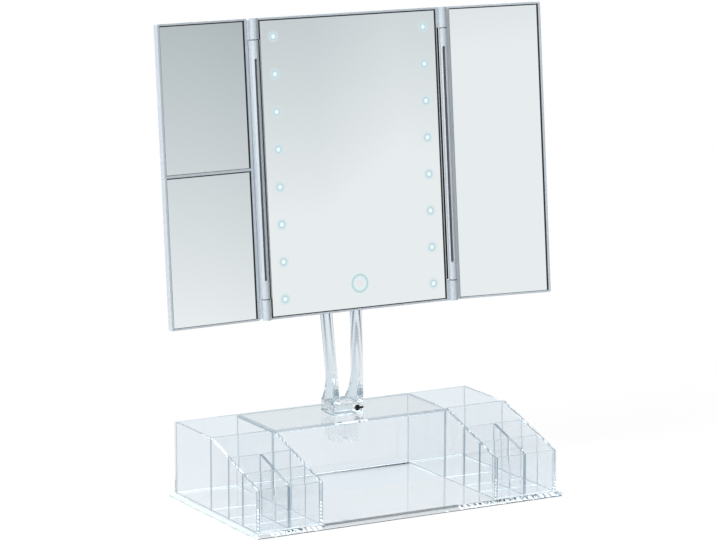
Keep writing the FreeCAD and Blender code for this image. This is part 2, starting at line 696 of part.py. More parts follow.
def pocket_liner(x, z, floor, gaps):
    """Black strip that fills the gap round a glass and lines the frame's lip above it."""
    outer = block(x, (LINER_SINK - LIP, floor), z)
    trench = block(narrowed(x, LINER, LINER), (-LIP, LINER_BASE), narrowed(z, LINER, LINER))
    hole_x = narrowed(narrowed(x, *gaps[0]), -PRESS_CLEARANCE, -PRESS_CLEARANCE)
    hole_z = narrowed(narrowed(z, *gaps[1]), -PRESS_CLEARANCE, -PRESS_CLEARANCE)
    return outer.cut([trench, block(hole_x, (-LIP, floor), hole_z)])


def hinge_shields():
    """Black strips on the sides of the centre frame that close the view between frame and barrels."""
    strips = []
    z = (BARREL_BOTTOM, BARREL_TOP)
    for side in SIDES.values():
        plate_x = on_side(side, FRAME_HALF, FRAME_HALF + SHIELD_THICKNESS)
        plate = block(plate_x, (SHIELD_FRONT, SHIELD_BACK), z)
        flange_x = on_side(side, FRAME_HALF, HINGE_X - SHIELD_CLEARANCE)
        flange = block(flange_x, (SHIELD_BACK - SHIELD_THICKNESS, SHIELD_BACK), z)
        strips.append(plate.fuse(flange).removeSplitter())
    return group(strips)


def centre_frame():
    body = panel_front(centred(FRAME_HALF), FRAME_DEPTH)
    cuts = [glass_pocket(centred(POCKET_HALF), (PANEL_LIP, POCKET_TOP), CENTRE_GLASS_THICKNESS)]
    inner_z = (FRAME_WALL, PANEL_HEIGHT - FRAME_WALL)
    cuts.append(block(centred(FRAME_HALF - FRAME_WALL), (WEB_BACK, FRAME_DEPTH + OVERRUN), inner_z))
    body = body.cut(cuts)
    added = []
    for side in SIDES.values():
        for z in KNUCKLES:
            added.append(knuckle(side, z))
    for place in cover_screw_places(WEB_BACK - WEB_THICKNESS / 2):
        added.append(rod(BOSS_RADIUS, place, Y_AXIS, BOSS_TOP - place.y))
    body = body.fuse(added).removeSplitter()
    holes = []
    for place in led_places(CENTRE_GLASS_THICKNESS - OVERRUN):
        holes.append(rod(LED_HOLE_RADIUS, place, Y_AXIS, WEB_THICKNESS + 2 * OVERRUN))
    touch = Vec(0, CENTRE_GLASS_THICKNESS - OVERRUN, TOUCH_UP)
    holes.append(rod(TOUCH_PAD_RADIUS + FIT_CLEARANCE, touch, Y_AXIS, WEB_THICKNESS + 2 * OVERRUN))
    for place in cover_screw_places(CENTRE_GLASS_THICKNESS + WEB_THICKNESS / 2):
        holes.append(rod(SCREW_RADIUS + PRESS_CLEARANCE, place, Y_AXIS, BOSS_TOP))
    for side in SIDES.values():
        for z in KNUCKLES:
            start = Vec(side * HINGE_X, -HINGE_FRONT, z[0] - OVERRUN)
            length = KNUCKLE_LENGTH + 2 * OVERRUN
            holes.append(rod(HINGE_PIN_RADIUS + PRESS_CLEARANCE, start, Z_AXIS, length))
    return body.cut(holes)


def touch_groove(clearance):
    outer = TOUCH_RING_RADIUS + clearance
    inner = TOUCH_RING_RADIUS - TOUCH_RING_WIDTH - clearance
    start = Vec(0, 0, TOUCH_UP)
    ring = rod(outer, start, Y_AXIS, TOUCH_RING_DEPTH)
    return ring.cut(rod(inner, start, Y_AXIS, TOUCH_RING_DEPTH))


def centre_glass():
    pocket_z = (PANEL_LIP, POCKET_TOP)
    glass = seated_glass(centred(POCKET_HALF), pocket_z, CENTRE_GLASS_THICKNESS, CENTRE_GAPS)
    cuts = [touch_groove(PRESS_CLEARANCE)]
    hole_radius = LED_WINDOW_RADIUS + PRESS_CLEARANCE
    for place in led_places(-OVERRUN):
        cuts.append(rod(hole_radius, place, Y_AXIS, CENTRE_GLASS_THICKNESS + 2 * OVERRUN))
    return glass.cut(cuts)


def centre_liner():
    pocket_z = (PANEL_LIP, POCKET_TOP)
    return pocket_liner(centred(POCKET_HALF), pocket_z, CENTRE_GLASS_THICKNESS, CENTRE_GAPS)


def touch_ring():
    return touch_groove(0)


def led_windows():
    return group([rod(LED_WINDOW_RADIUS, place, Y_AXIS, CENTRE_GLASS_THICKNESS) for place in led_places(0)])


def leds():
    chips = []
    chip_y = (WEB_BACK - LED_HEIGHT, WEB_BACK)
    for place in led_places(WEB_BACK):
        chips.append(block(about(place.x, LED_SIZE), chip_y, about(place.z, LED_SIZE)))
    return group(chips)


def led_strips():
    strips = []
    for side in SIDES.values():
        strip_x = about(side * LED_X, STRIP_WIDTH)
        strips.append(block(strip_x, (WEB_BACK, BOARD_BACK), (STRIP_BOTTOM, STRIP_TOP)))
    return group(strips)


def control_board():
    return block(centred(CONTROL_BOARD_WIDTH / 2), (WEB_BACK, BOARD_BACK), (BOARD_BOTTOM, BOARD_TOP))


def touch_pad():
    return rod(TOUCH_PAD_RADIUS, Vec(0, CENTRE_GLASS_THICKNESS, TOUCH_UP), Y_AXIS, WEB_THICKNESS)


def wiring():
    """Leads from the control board to the light strips and up to the battery bay."""
    leads = []
    depth = WEB_BACK + WIRE_RADIUS
    board_edge = CONTROL_BOARD_WIDTH / 2
    strip_edge = LED_X - STRIP_WIDTH / 2
    bay_floor = BAY_FLOOR_BACK - BAY_FLOOR
    for side in SIDES.values():
        start = Vec(min(side * board_edge, side * strip_edge), depth, TOUCH_UP)
        leads.append(rod(WIRE_RADIUS, start, X_AXIS, strip_edge - board_edge))
        foot = Vec(side * WIRE_SPREAD, depth, BOARD_TOP)
        rise = rod(WIRE_RADIUS, foot, Z_AXIS, BAY_UP - BOARD_TOP)
        bend = Part.makeSphere(WIRE_RADIUS, Vec(side * WIRE_SPREAD, depth, BAY_UP))
        reach = rod(WIRE_RADIUS, Vec(side * WIRE_SPREAD, depth, BAY_UP), Y_AXIS, bay_floor - depth)
        leads.append(rise.fuse([bend, reach]).removeSplitter())
    return group(leads)


def bay_z(margin):
    return (BAY_UP - BAY_HALF_LENGTH - margin, BAY_UP + BAY_HALF_LENGTH + margin)


def back_cover():
    """Rear shell with the battery hump, the door's rails, screw posts and the switch recess."""
    shell = rounded_block(centred(FRAME_HALF), (FRAME_DEPTH, COVER_BACK), (0, PANEL_HEIGHT), PANEL_CORNER)
    shell = shell.makeFillet(COVER_EDGE, edges_at_y(shell, COVER_BACK))
    inner_z = (FRAME_WALL, PANEL_HEIGHT - FRAME_WALL)
    inner_y = (FRAME_DEPTH - OVERRUN, COVER_INSIDE)
    shell = shell.cut(block(centred(FRAME_HALF - FRAME_WALL), inner_y, inner_z))
    rim_gap = FRAME_WALL + FIT_CLEARANCE
    rim_y = (FRAME_DEPTH - LOCATING_RIM_REACH, COVER_INSIDE)
    rim = block(centred(FRAME_HALF - rim_gap), rim_y, (rim_gap, PANEL_HEIGHT - rim_gap))
    rim_inner = rim_gap + LOCATING_RIM_WALL
    rim_hollow = block(centred(FRAME_HALF - rim_inner), (rim_y[0] - OVERRUN, rim_y[1] + OVERRUN),
                       (rim_inner, PANEL_HEIGHT - rim_inner))
    hump_z = (HUMP_BOTTOM, HUMP_TOP)
    hump = rounded_block(centred(HUMP_HALF_WIDTH), (COVER_INSIDE, DOOR_BACK), hump_z, HUMP_CORNER)
    bay_y = (BAY_FLOOR_BACK - BAY_FLOOR, COVER_BACK)
    bay_shell = block(centred(BAY_HALF_WIDTH + BAY_WALL), bay_y, bay_z(BAY_WALL))
    posts = [rim.cut(rim_hollow), hump, bay_shell]
    for place in cover_screw_places(BOSS_TOP):
        posts.append(rod(BOSS_RADIUS, place, Y_AXIS, COVER_BACK - SCREW_SINK - BOSS_TOP))
    for place in bracket_screw_places():
        post_length = BRACKET_SCREW_REACH + BRACKET_POST_FLOOR
        start = place - Y_AXIS * post_length
        posts.append(rod(BOSS_RADIUS, start, Y_AXIS, post_length - COVER_WALL / 2))
    shell = shell.fuse(posts).removeSplitter()
    cuts = [block(centred(BAY_HALF_WIDTH), (BAY_FLOOR_BACK, DOOR_BACK + OVERRUN), bay_z(0))]
    door_z = (DOOR_BOTTOM - FIT_CLEARANCE, HUMP_TOP + OVERRUN)
    door_front = DOOR_FRONT - FIT_CLEARANCE
    cuts.append(block(centred(DOOR_HALF_WIDTH + FIT_CLEARANCE), (door_front, DOOR_BACK + OVERRUN), door_z))
    tongue_back = DOOR_FRONT + DOOR_TONGUE_THICKNESS + FIT_CLEARANCE
    cuts.append(block(centred(TONGUE_HALF_WIDTH + FIT_CLEARANCE), (door_front, tongue_back), door_z))
    for place in cover_screw_places(BOSS_TOP - OVERRUN):
        cuts.append(rod(SCREW_RADIUS + FIT_CLEARANCE, place, Y_AXIS, COVER_DEPTH + FRAME_DEPTH))
        seat = Vec(place.x, COVER_BACK - SCREW_SINK, place.z)
        cuts.append(rod(SCREW_HEAD_RADIUS + FIT_CLEARANCE, seat, Y_AXIS, SCREW_SINK + OVERRUN))
    for place in bracket_screw_places():
        start = place - Y_AXIS * BRACKET_SCREW_REACH
        cuts.append(rod(SCREW_RADIUS + PRESS_CLEARANCE, start, Y_AXIS, BRACKET_SCREW_LENGTH))
    recess_y = (COVER_BACK - SWITCH_RECESS_DEPTH, COVER_BACK + OVERRUN)
    cuts.append(rounded_block(about(SWITCH_X, SWITCH_RECESS_WIDTH), recess_y,
                              about(SWITCH_UP, SWITCH_RECESS_HEIGHT), SWITCH_RECESS_DEPTH))
    slot_x = about(SWITCH_X, KNOB_WIDTH + KNOB_TRAVEL + 2 * KNOB_CLEARANCE)
    slot_z = about(SWITCH_UP, KNOB_HEIGHT + 2 * KNOB_CLEARANCE)
    cuts.append(block(slot_x, (COVER_INSIDE - OVERRUN, COVER_BACK + OVERRUN), slot_z))
    return shell.cut(cuts)


def cover_screws():
    screws = []
    for place in cover_screw_places(COVER_BACK - SCREW_SINK):
        screws.append(screw(SCREW_HEAD_RADIUS, SCREW_HEAD_HEIGHT, SCREW_RADIUS, COVER_SCREW_LENGTH, place,
                            Y_AXIS * -1))
    return group(screws)


def battery_door():
    """Sliding lid with a tongue along each side and finger ridges near its lower end."""
    door_z = (DOOR_BOTTOM, HUMP_TOP)
    lid = block(centred(DOOR_HALF_WIDTH), (DOOR_FRONT, DOOR_BACK), door_z)
    tongues = block(centred(TONGUE_HALF_WIDTH), (DOOR_FRONT, DOOR_FRONT + DOOR_TONGUE_THICKNESS), door_z)
    lid = lid.fuse(tongues).removeSplitter()
    grooves = []
    groove_y = (DOOR_BACK - DOOR_GRIP_DEPTH, DOOR_BACK + OVERRUN)
    for index in range(DOOR_GRIP_COUNT):
        z = about(DOOR_BOTTOM + DOOR_GRIP_INSET + index * DOOR_GRIP_PITCH, DOOR_GRIP_WIDTH)
        grooves.append(block(centred(DOOR_GRIP_LENGTH / 2), groove_y, z))
    return lid.cut(grooves)


def cell_x(index):
    return (index - (CELL_COUNT - 1) / 2) * CELL_PITCH


def battery_cells():
    """Cells side by side, turned end for end in alternation."""
    depth = BAY_FLOOR_BACK + CELL_RADIUS + FIT_CLEARANCE
    whole = CELL_LENGTH + CELL_NUB_LENGTH
    cells = []
    for index in range(CELL_COUNT):
        turned = -1 if index % 2 else 1
        foot = Vec(cell_x(index), depth, BAY_UP - turned * whole / 2)
        along = Z_AXIS * turned
        can = rod(CELL_RADIUS, foot, along, CELL_LENGTH)
        nub = rod(CELL_NUB_RADIUS, foot + along * CELL_LENGTH, along, CELL_NUB_LENGTH)
        cells.append(can.fuse(nub).removeSplitter())
    return group(cells)


def battery_contacts():
    """Contact plate and spring cone at both ends of the cells."""
    depth = BAY_FLOOR_BACK + CELL_RADIUS + FIT_CLEARANCE
    reach = CONTACT_SPACE - CONTACT_THICKNESS
    plates = []
    for end in (-1, 1):
        wall = BAY_UP + end * BAY_HALF_LENGTH
        face = wall - end * CONTACT_THICKNESS
        z = tuple(sorted((wall, face)))
        plate = block(centred(BAY_HALF_WIDTH), about(depth, 2 * CELL_RADIUS), z)
        cones = []
        for index in range(CELL_COUNT):
            base = Vec(cell_x(index), depth, face)
            cones.append(Part.makeCone(CONTACT_RADIUS, CONTACT_RADIUS / 2, reach, base, Z_AXIS * -end))
        plates.append(plate.fuse(cones).removeSplitter())
    return group(plates)


def switch_body():
    y = (COVER_INSIDE - SWITCH_BODY_DEPTH, COVER_INSIDE)
    return block(about(SWITCH_X, SWITCH_RECESS_WIDTH), y, about(SWITCH_UP, SWITCH_RECESS_HEIGHT))


def power_slider():
    """Switch knob at the left end of its travel."""
    x = about(SWITCH_X - KNOB_TRAVEL / 2, KNOB_WIDTH)
    y = (COVER_INSIDE + KNOB_LIFT, COVER_BACK + KNOB_RISE)
    return block(x, y, about(SWITCH_UP, KNOB_HEIGHT))


# Wings, modelled in line with the centre panel and then swung about their hinge axes
def wing_pocket_spans(side_name):
    """Low and high edges of the pocket of each glass in a wing: two on the left, one on the right."""
    if side_name == "right":
        return {"right_wing_glass": (PANEL_LIP, POCKET_TOP)}
    rib = about(WING_MIDDLE + WING_RIB_RISE, WING_RIB)
    return {"left_lower_glass": (PANEL_LIP, rib[0]), "left_upper_glass": (rib[1], POCKET_TOP)}


def wing_pocket_x(side_name):
    return on_side(SIDES[side_name], WING_POCKET_INNER, WING_POCKET_OUTER)


def wing_plate(side_name):
    """Flat body of a wing's frame, with the glass pockets in front and a hollow behind."""
    side = SIDES[side_name]
    body = panel_front(on_side(side, WING_INNER, WING_OUTER), WING_FRAME_DEPTH)
    cuts = []
    for z in wing_pocket_spans(side_name).values():
        cuts.append(glass_pocket(wing_pocket_x(side_name), z, WING_GLASS_THICKNESS))
    hollow_x = on_side(side, WING_INNER + WING_WALL, WING_OUTER - WING_WALL)
    hollow_z = (WING_WALL, PANEL_HEIGHT - WING_WALL)
    cuts.append(block(hollow_x, (WING_WEB_BACK, WING_FRAME_DEPTH + OVERRUN), hollow_z))
    return body.cut(cuts)


def wing_frame(side_name):
    """Wing frame with its long hinge barrel and the leaf that joins the two."""
    side = SIDES[side_name]
    barrel_z = (BARREL_BOTTOM, BARREL_TOP)
    axis_start = Vec(side * HINGE_X, -HINGE_FRONT, BARREL_BOTTOM)
    barrel = rod(BARREL_RADIUS, axis_start, Z_AXIS, BARREL_TOP - BARREL_BOTTOM)
    tail = block(on_side(side, HINGE_X, HINGE_X + BARREL_RADIUS), (-HINGE_FRONT, WING_LEAF_BACK), barrel_z)
    leaf_x = on_side(side, HINGE_X, WING_INNER + WING_WALL / 2)
    leaf = block(leaf_x, (WING_SETBACK, WING_LEAF_BACK), barrel_z)
    body = set_back(wing_plate(side_name)).fuse([barrel, tail, leaf]).removeSplitter()
    return body.cut([barrel_groove(side), barrel_bore(side)])


def barrel_groove(side):
    """Long round-ended slot down a barrel to its pins, turned from the front towards the viewer's left."""
    front = -HINGE_FRONT - BARREL_RADIUS
    y = (front - OVERRUN, front + GROOVE_DEPTH)
    low = BARREL_BOTTOM + GROOVE_INSET
    high = BARREL_TOP - GROOVE_INSET
    groove = block(about(side * HINGE_X, GROOVE_WIDTH), y, (low, high))
    ends = [rod(GROOVE_WIDTH / 2, Vec(side * HINGE_X, y[0], z), Y_AXIS, y[1] - y[0]) for z in (low, high)]
    groove = groove.fuse(ends).removeSplitter()
    groove.rotate(Vec(side * HINGE_X, -HINGE_FRONT, 0), Z_AXIS, -GROOVE_TURN)
    return groove


def barrel_bore(side):
    start = Vec(side * HINGE_X, -HINGE_FRONT, BARREL_BOTTOM - OVERRUN)
    return rod(HINGE_PIN_RADIUS + RUNNING_CLEARANCE, start, Z_AXIS, BARREL_TOP - BARREL_BOTTOM + 2 * OVERRUN)


def wing_back(side_name):
    """Rear cover of a wing, with a rim that locates it in the frame."""
    side = SIDES[side_name]
    x = on_side(side, WING_INNER, WING_OUTER)
    plate = rounded_block(x, (WING_FRAME_DEPTH, WING_BACK), (0, PANEL_HEIGHT), PANEL_CORNER)
    plate = plate.makeFillet(WING_BACK_THICKNESS * WING_BACK_EDGE_SHARE, edges_at_y(plate, WING_BACK))
    gap = WING_WALL + FIT_CLEARANCE
    inner = gap + LOCATING_RIM_WALL
    y = (WING_WEB_BACK, WING_FRAME_DEPTH)
    rim = block((x[0] + gap, x[1] - gap), y, (gap, PANEL_HEIGHT - gap))
    hollow = block((x[0] + inner, x[1] - inner), (y[0] - OVERRUN, y[1]), (inner, PANEL_HEIGHT - inner))
    return plate.fuse(rim.cut(hollow)).removeSplitter()


def wing_glass(side_name, z):
    return seated_glass(wing_pocket_x(side_name), z, WING_GLASS_THICKNESS, WING_GAPS)


def wing_liners(side_name):
    liners = []
    for z in wing_pocket_spans(side_name).values():
        liners.append(pocket_liner(wing_pocket_x(side_name), z, WING_GLASS_THICKNESS, WING_GAPS))
    return group(liners)


def placed(shape, placement):
    moved = shape.copy()
    moved.Placement = placement.multiply(shape.Placement)
    return moved


def set_back(shape):
    """Copy of a wing's piece, moved behind the plane of the centre glass."""
    return placed(shape, FreeCAD.Placement(Y_AXIS * WING_SETBACK, FreeCAD.Rotation()))


def wing_place(side_name):
    """Placement that swings a wing forward about its hinge axis and tilts it with the panel."""
    swing = {"left": LEFT_WING_SWING, "right": -RIGHT_WING_SWING}[side_name]
    axis_point = Vec(SIDES[side_name] * HINGE_X, -HINGE_FRONT, 0)
    turn = FreeCAD.Placement(Vec(0, 0, 0), FreeCAD.Rotation(Z_AXIS, swing), axis_point)
    return HEAD_PLACE.multiply(turn)


def organiser_pieces():
    pieces = {
        "base_plate": base_plate(),
        "rear_wall": rear_wall(),
        "deck_front_wall": deck_front_wall(),
        "deck_plate": deck_plate(),
        "foot_socket": foot_socket(),
    }
    for name, side in SIDES.items():
        pieces[name + "_outer_wall"] = side_wall(on_side(side, HALF_WIDTH - SHEET, HALF_WIDTH))
        pieces[name + "_inner_wall"] = side_wall(about(side * INNER_WALL_X, SHEET))
        pieces[name + "_cross_wall_1"] = cross_wall(side, SLOPE_START)
        pieces[name + "_cross_wall_2"] = cross_wall(side, CROSS_WALL_2)
        pieces[name + "_cross_wall_3"] = lapped_cross_wall(side)
        pieces[name + "_front_wall"] = cross_wall(side, -HALF_DEPTH)
        pieces[name + "_divider"] = divider(side)
    return pieces


def stand_pieces():
    return {
        "stand_foot": stand_foot(),
        "left_leg": leg(SIDES["left"]),
        "right_leg": leg(SIDES["right"]),
        "foot_screw": foot_screw(),
        "tilt_bolt": tilt_bolt(),
        "tilt_nut": tilt_nut(),
        "friction_washers": friction_washers(),
    }


def head_pieces():
    pieces = {
        "tilt_bracket": tilt_bracket(),
        "bracket_screws": bracket_screws(),
        "centre_frame": centre_frame(),
        "centre_glass": centre_glass(),
        "centre_liner": centre_liner(),
        "hinge_shields": hinge_shields(),
        "touch_ring": touch_ring(),
        "touch_pad": touch_pad(),
        "led_windows": led_windows(),
        "leds": leds(),
        "led_strips": led_strips(),
        "control_board": control_board(),
        "wiring": wiring(),
        "back_cover": back_cover(),
        "cover_screws": cover_screws(),
        "battery_door": battery_door(),
        "battery_cells": battery_cells(),
        "battery_contacts": battery_contacts(),
        "switch_body": switch_body(),
        "power_slider": power_slider(),
    }
    for name, side in SIDES.items():
        pieces[name + "_hinge_pins"] = group([hinge_pin(side, z) for z in KNUCKLES])
    return pieces


def wing_pieces(side_name):
    pieces = {
        side_name + "_wing_frame": wing_frame(side_name),
        side_name + "_wing_back": set_back(wing_back(side_name)),
        side_name + "_wing_liners": set_back(wing_liners(side_name)),
    }
    for name, z in wing_pocket_spans(side_name).items():
        pieces[name] = set_back(wing_glass(side_name, z))
    return pieces


def build():
    pieces = organiser_pieces()
    pieces.update(stand_pieces())
    for name, shape in head_pieces().items():
        pieces[name] = placed(shape, HEAD_PLACE)
    for side_name in SIDES:
        for name, shape in wing_pieces(side_name).items():
            pieces[name] = placed(shape, wing_place(side_name))
    return pieces


os.makedirs("parts", exist_ok=True)
for piece_name, piece in build().items():
    piece.exportStep("parts/" + piece_name + ".step")
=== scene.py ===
"""Looks of the lighted makeup mirror: materials, small hardware, studio and camera.

Lengths are in metres, in the frame of the part.
"""
import json
import math

import bmesh
import bpy
from mathutils import Matrix, Vector

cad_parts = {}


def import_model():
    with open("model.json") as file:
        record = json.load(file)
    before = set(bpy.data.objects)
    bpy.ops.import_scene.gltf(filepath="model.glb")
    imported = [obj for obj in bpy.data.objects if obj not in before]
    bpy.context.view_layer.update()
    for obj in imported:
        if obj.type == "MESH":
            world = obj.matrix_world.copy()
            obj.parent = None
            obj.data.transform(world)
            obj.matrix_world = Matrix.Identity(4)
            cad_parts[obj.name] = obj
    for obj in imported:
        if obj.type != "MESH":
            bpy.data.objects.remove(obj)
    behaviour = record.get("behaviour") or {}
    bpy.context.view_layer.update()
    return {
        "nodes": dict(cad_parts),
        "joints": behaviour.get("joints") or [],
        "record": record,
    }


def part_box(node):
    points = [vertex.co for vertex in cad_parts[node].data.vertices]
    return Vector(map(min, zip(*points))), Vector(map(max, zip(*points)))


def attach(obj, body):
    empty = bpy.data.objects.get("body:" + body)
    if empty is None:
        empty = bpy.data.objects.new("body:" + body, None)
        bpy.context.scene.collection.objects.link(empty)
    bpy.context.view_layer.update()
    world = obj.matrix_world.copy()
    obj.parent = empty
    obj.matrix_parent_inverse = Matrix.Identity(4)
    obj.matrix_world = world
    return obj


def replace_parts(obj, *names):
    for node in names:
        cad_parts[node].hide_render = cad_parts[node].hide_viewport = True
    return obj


MM = 0.001
X_AXIS = Vector((1, 0, 0))
Y_AXIS = Vector((0, 1, 0))
Z_AXIS = Vector((0, 0, 1))
WHITE = (1, 1, 1, 1)
BLACK = (0, 0, 0, 1)

# Cosine above which a face counts as turned a certain way, and the digits that tell directions apart
FACING = 0.7
NORMAL_DIGITS = 3

# Camera, fitted to the photograph
IMAGE_WIDTH = 716
FOCAL_PIXELS = 3361.26
SENSOR_WIDTH = 36.0
CAMERA_AZIMUTH = -29.148
CAMERA_ELEVATION = 10.759
CAMERA_ROLL = 0.068
CAMERA_DISTANCE = 3060.15 * MM
CAMERA_TARGET = Vector((-8.26 * MM, 0, 212.73 * MM))
CAMERA_CLIP_END = 100

# Lights on the centre panel
LED_COUNT = 8
LED_CORE = 1.3 * MM
LED_RING = 2.6 * MM
LED_RIM = 3.2 * MM
LED_EDGE = 4.0 * MM
LED_HALO = 6.5 * MM
LED_WHITE = (0.82, 0.98, 1, 1)
LED_SHADE = (0.47, 0.62, 0.67, 1)
LED_GLOW = (0.64, 0.775, 0.81, 1)
LED_GLOW_SHARE = 0.6
LIT_BODY = (0.02, 0.03, 0.03, 1)
WINDOW_ROUGHNESS = 0.35

# Touch ring on the centre glass
RING_LOW = (0.47, 0.61, 0.63, 1)
RING_HIGH = (0.53, 0.66, 0.68, 1)
RING_HALO = (0.74, 0.88, 0.92, 1)
RING_MIDDLE = (0.84, 0.8, 0.82, 1)
RING_GLOW_SHARE = 0.75
RING_INSIDE = 2.5 * MM
RING_FADE = 2.4 * MM
RING_GRAIN = 900
RING_ROUGHNESS = 0.3

# Mirror glass
MIRROR_SILVER = (0.94, 0.952, 0.955, 1)
MIRROR_ROUGHNESS = (0.0, 0.03)
MIRROR_SMUDGE = 28
MIRROR_EDGE = (0.5, 0.57, 0.56, 1)
MIRROR_EDGE_ROUGHNESS = 0.45

# Silver plastic
SILVER_LOW = (0.5, 0.55, 0.6, 1)
SILVER_HIGH = (0.545, 0.59, 0.63, 1)
SILVER_METALLIC = 0.35
SILVER_ROUGHNESS = (0.3, 0.42)
SILVER_FLAKE = 5200
SILVER_CLOUD = 18
SILVER_GRAIN = 160
SILVER_BUMP = 0.12

# Plain finishes by material slot: two shades, how metallic, and the range of roughness
FINISHES = {
    "led_chip": ((0.8, 0.76, 0.45, 1), (0.9, 0.87, 0.6, 1), 0.0, (0.3, 0.4)),
    "circuit_board": ((0.72, 0.76, 0.74, 1), (0.8, 0.83, 0.81, 1), 0.0, (0.4, 0.55)),
    "copper_pad": ((0.6, 0.3, 0.18, 1), (0.72, 0.4, 0.26, 1), 1.0, (0.25, 0.4)),
    "black_screw": ((0.008, 0.008, 0.009, 1), (0.016, 0.016, 0.018, 1), 0.6, (0.3, 0.45)),
    "steel": ((0.52, 0.52, 0.53, 1), (0.62, 0.62, 0.63, 1), 1.0, (0.25, 0.4)),
    "dark_steel": ((0.1, 0.103, 0.11, 1), (0.14, 0.143, 0.15, 1), 0.5, (0.4, 0.5)),
    "nylon": ((0.74, 0.74, 0.71, 1), (0.8, 0.8, 0.77, 1), 0.0, (0.45, 0.55)),
    "battery_can": ((0.2, 0.21, 0.23, 1), (0.24, 0.25, 0.28, 1), 0.4, (0.3, 0.4)),
    "wire_sleeve": ((0.4, 0.03, 0.025, 1), (0.5, 0.045, 0.035, 1), 0.0, (0.4, 0.5)),
    # black_plastic also dresses the black shields in the hinge gaps and the liners round the glass, dark
    # pieces that stand in for shade
    "black_plastic": ((0.02, 0.02, 0.022, 1), (0.032, 0.032, 0.035, 1), 0.0, (0.4, 0.55)),
}
FINISH_GRAIN = 900
FINISH_CLOUD = 300
FINISH_BUMP = 0.1
GRAIN_HEIGHT = 0.02 * MM

# Hinges, measured from the hinge axis
BARREL_RADIUS = 3.75 * MM
BARREL_REACH = 3.9 * MM
# Painted shade at the hinges: half width and colour of the seam lines, and width of the line beside the left
# knuckles
SEAM_HALF = 0.38 * MM
SEAM_SHADE = (0.015, 0.016, 0.018, 1)
KNUCKLE_SHADE_WIDTH = 1.3 * MM
KNUCKLE_ROOM = 0.35 * MM
LEAF_FRONT = 1.6 * MM
LEAF_INNER = 2.6 * MM
LEAF_BACK = 6.2 * MM
LEAF_ROUND = 0.4 * MM
LEAF_CORNER = 1.5 * MM
ARC_STEPS = 6
WING_GLASSES = {"left": "left_upper_glass", "right": "right_wing_glass"}

# Screws in the back of the mirror
SCREW_HEAD_RADIUS = 2.4 * MM
SCREW_HEAD_HEIGHT = 1.4 * MM
SCREW_RIM_HEIGHT = 0.5 * MM
SCREW_RADIUS = 1.25 * MM
SCREW_POINT = 1.2 * MM
SCREW_SIDES = 32
CROSS_REACH = 1.35 * MM
CROSS_HALF = 0.36 * MM
CROSS_DEPTH = 0.85 * MM
CROSS_TAPER = 0.6
SMOOTH_ANGLE = math.radians(35)
WELD = 0.001 * MM

# Clear plastic: tints of the sheet that is seen first
CLEAR_TINT = (0.785, 0.85, 0.897, 1)
# The base plate's tint is darker, as painted shade for the shade on the table under it
BASE_SHADED_TINT = (0.73, 0.785, 0.825, 1)
MOULDING_TINT = (0.6, 0.69, 0.755, 1)
FOOT_TINT = (0.76, 0.83, 0.87, 1)

# Clear plastic: tints for light that has turned more often than the count above each
CLEAR_FACE = 1.5
CLEAR_BEHIND = (0.965, 0.968, 0.97, 1)
CLEAR_TURNS = 14.0
CLEAR_EDGE = (0.88, 0.905, 0.92, 1)

# Clear plastic: what a surface leaves of the light of the lamps
CLEAR_LEAVES = (0.79, 0.82, 0.845, 1)
MOULDING_LEAVES = (0.93, 0.945, 0.955, 1)

# Clear plastic: how it bends light, and the faint waves in its surface
CLEAR_IOR = 1.49
SHEET_WAVE = 14
MOULDING_WAVE = 60
FOOT_WAVE = 260
WAVE_STRENGTH = 0.25
WAVE_HEIGHT = 0.2 * MM

# Painted shade in the legs: dark streaks
STREAK_SHADE = (0.02, 0.034, 0.055, 1)
STREAK_FOOT = 105 * MM
STREAK_TOP = 165 * MM
STREAK_ACROSS = 3.9 * MM
STREAK_DEEP = 6.9 * MM
STREAK_WANDER = 40
STREAK_STRETCH = (1, 1, 0.2)
STREAK_EDGE = 0.4

# Base plate: satin on the faces that turn left or right by more than SIDE_TURN
BASE_SIDE = (0.72, 0.78, 0.82, 1)
SIDE_SHARE = 0.6
SIDE_TURN = 0.3
SIDE_ROUGHNESS = 0.4

# Base plate: strength and width of its dark lines of painted shade, and the heights of the front's foot and
# top
BASE_SHADE = (0.02, 0.025, 0.03, 1)
DARK_ROUGHNESS = 0.9
REAR_LINE = 0.95
REAR_LINE_WIDTH = 6 * MM
FOOT_LINE = 0.8
FOOT_REACH = 0.1 * MM
FRONT_LINE = 0.6
FRONT_REACH = 7 * MM
EDGE_FOOT = 0.8 * MM
EDGE_TOP = 3.2 * MM

# Base plate: dark flecks of painted shade before the cells, where the front line breaks up
FLECKS = 0.85
FLECKS_REACH = 4.7 * MM
FLECKS_FOOT = 2.6 * MM
FLECKS_LEFT = -132 * MM
FLECKS_RIGHT = 50 * MM
FLECK_SCALE = 700
FLECK_STRETCH = (1, 0.3, 0.3)
FLECK_LEVEL = 0.5
GROUP_SCALE = 16
GROUP_STRETCH = (1, 0, 0)
GROUP_LEVEL = 0.42

# Wall under the deck: height of its foot
BONDED_FOOT = 0.6 * MM

# Table top and light paths
FLOOR_SIZE = 3.0
FLOOR_DROP = 0.05 * MM
FLOOR_COLOUR = (0.92, 0.92, 0.92, 1)
FLOOR_ROUGHNESS = 0.9
FLOOR_GLOW = 0.9
FADE_START = 0.3
FADE_END = 0.8
LIGHT_PATHS = 48

# Lamps: place, size and power
LAMP_AIM = Vector((0, 0, 0.22))
LAMPS = {
    "key": ((-2.3, -0.8, 2.3), 1.2, 108),
    "fill": ((1.9, -1.2, 1.1), 1.4, 5),
    "top": ((0, 0.3, 2.3), 1.6, 8),
    "back": ((0.4, 1.7, 2.1), 1.4, 26),
}

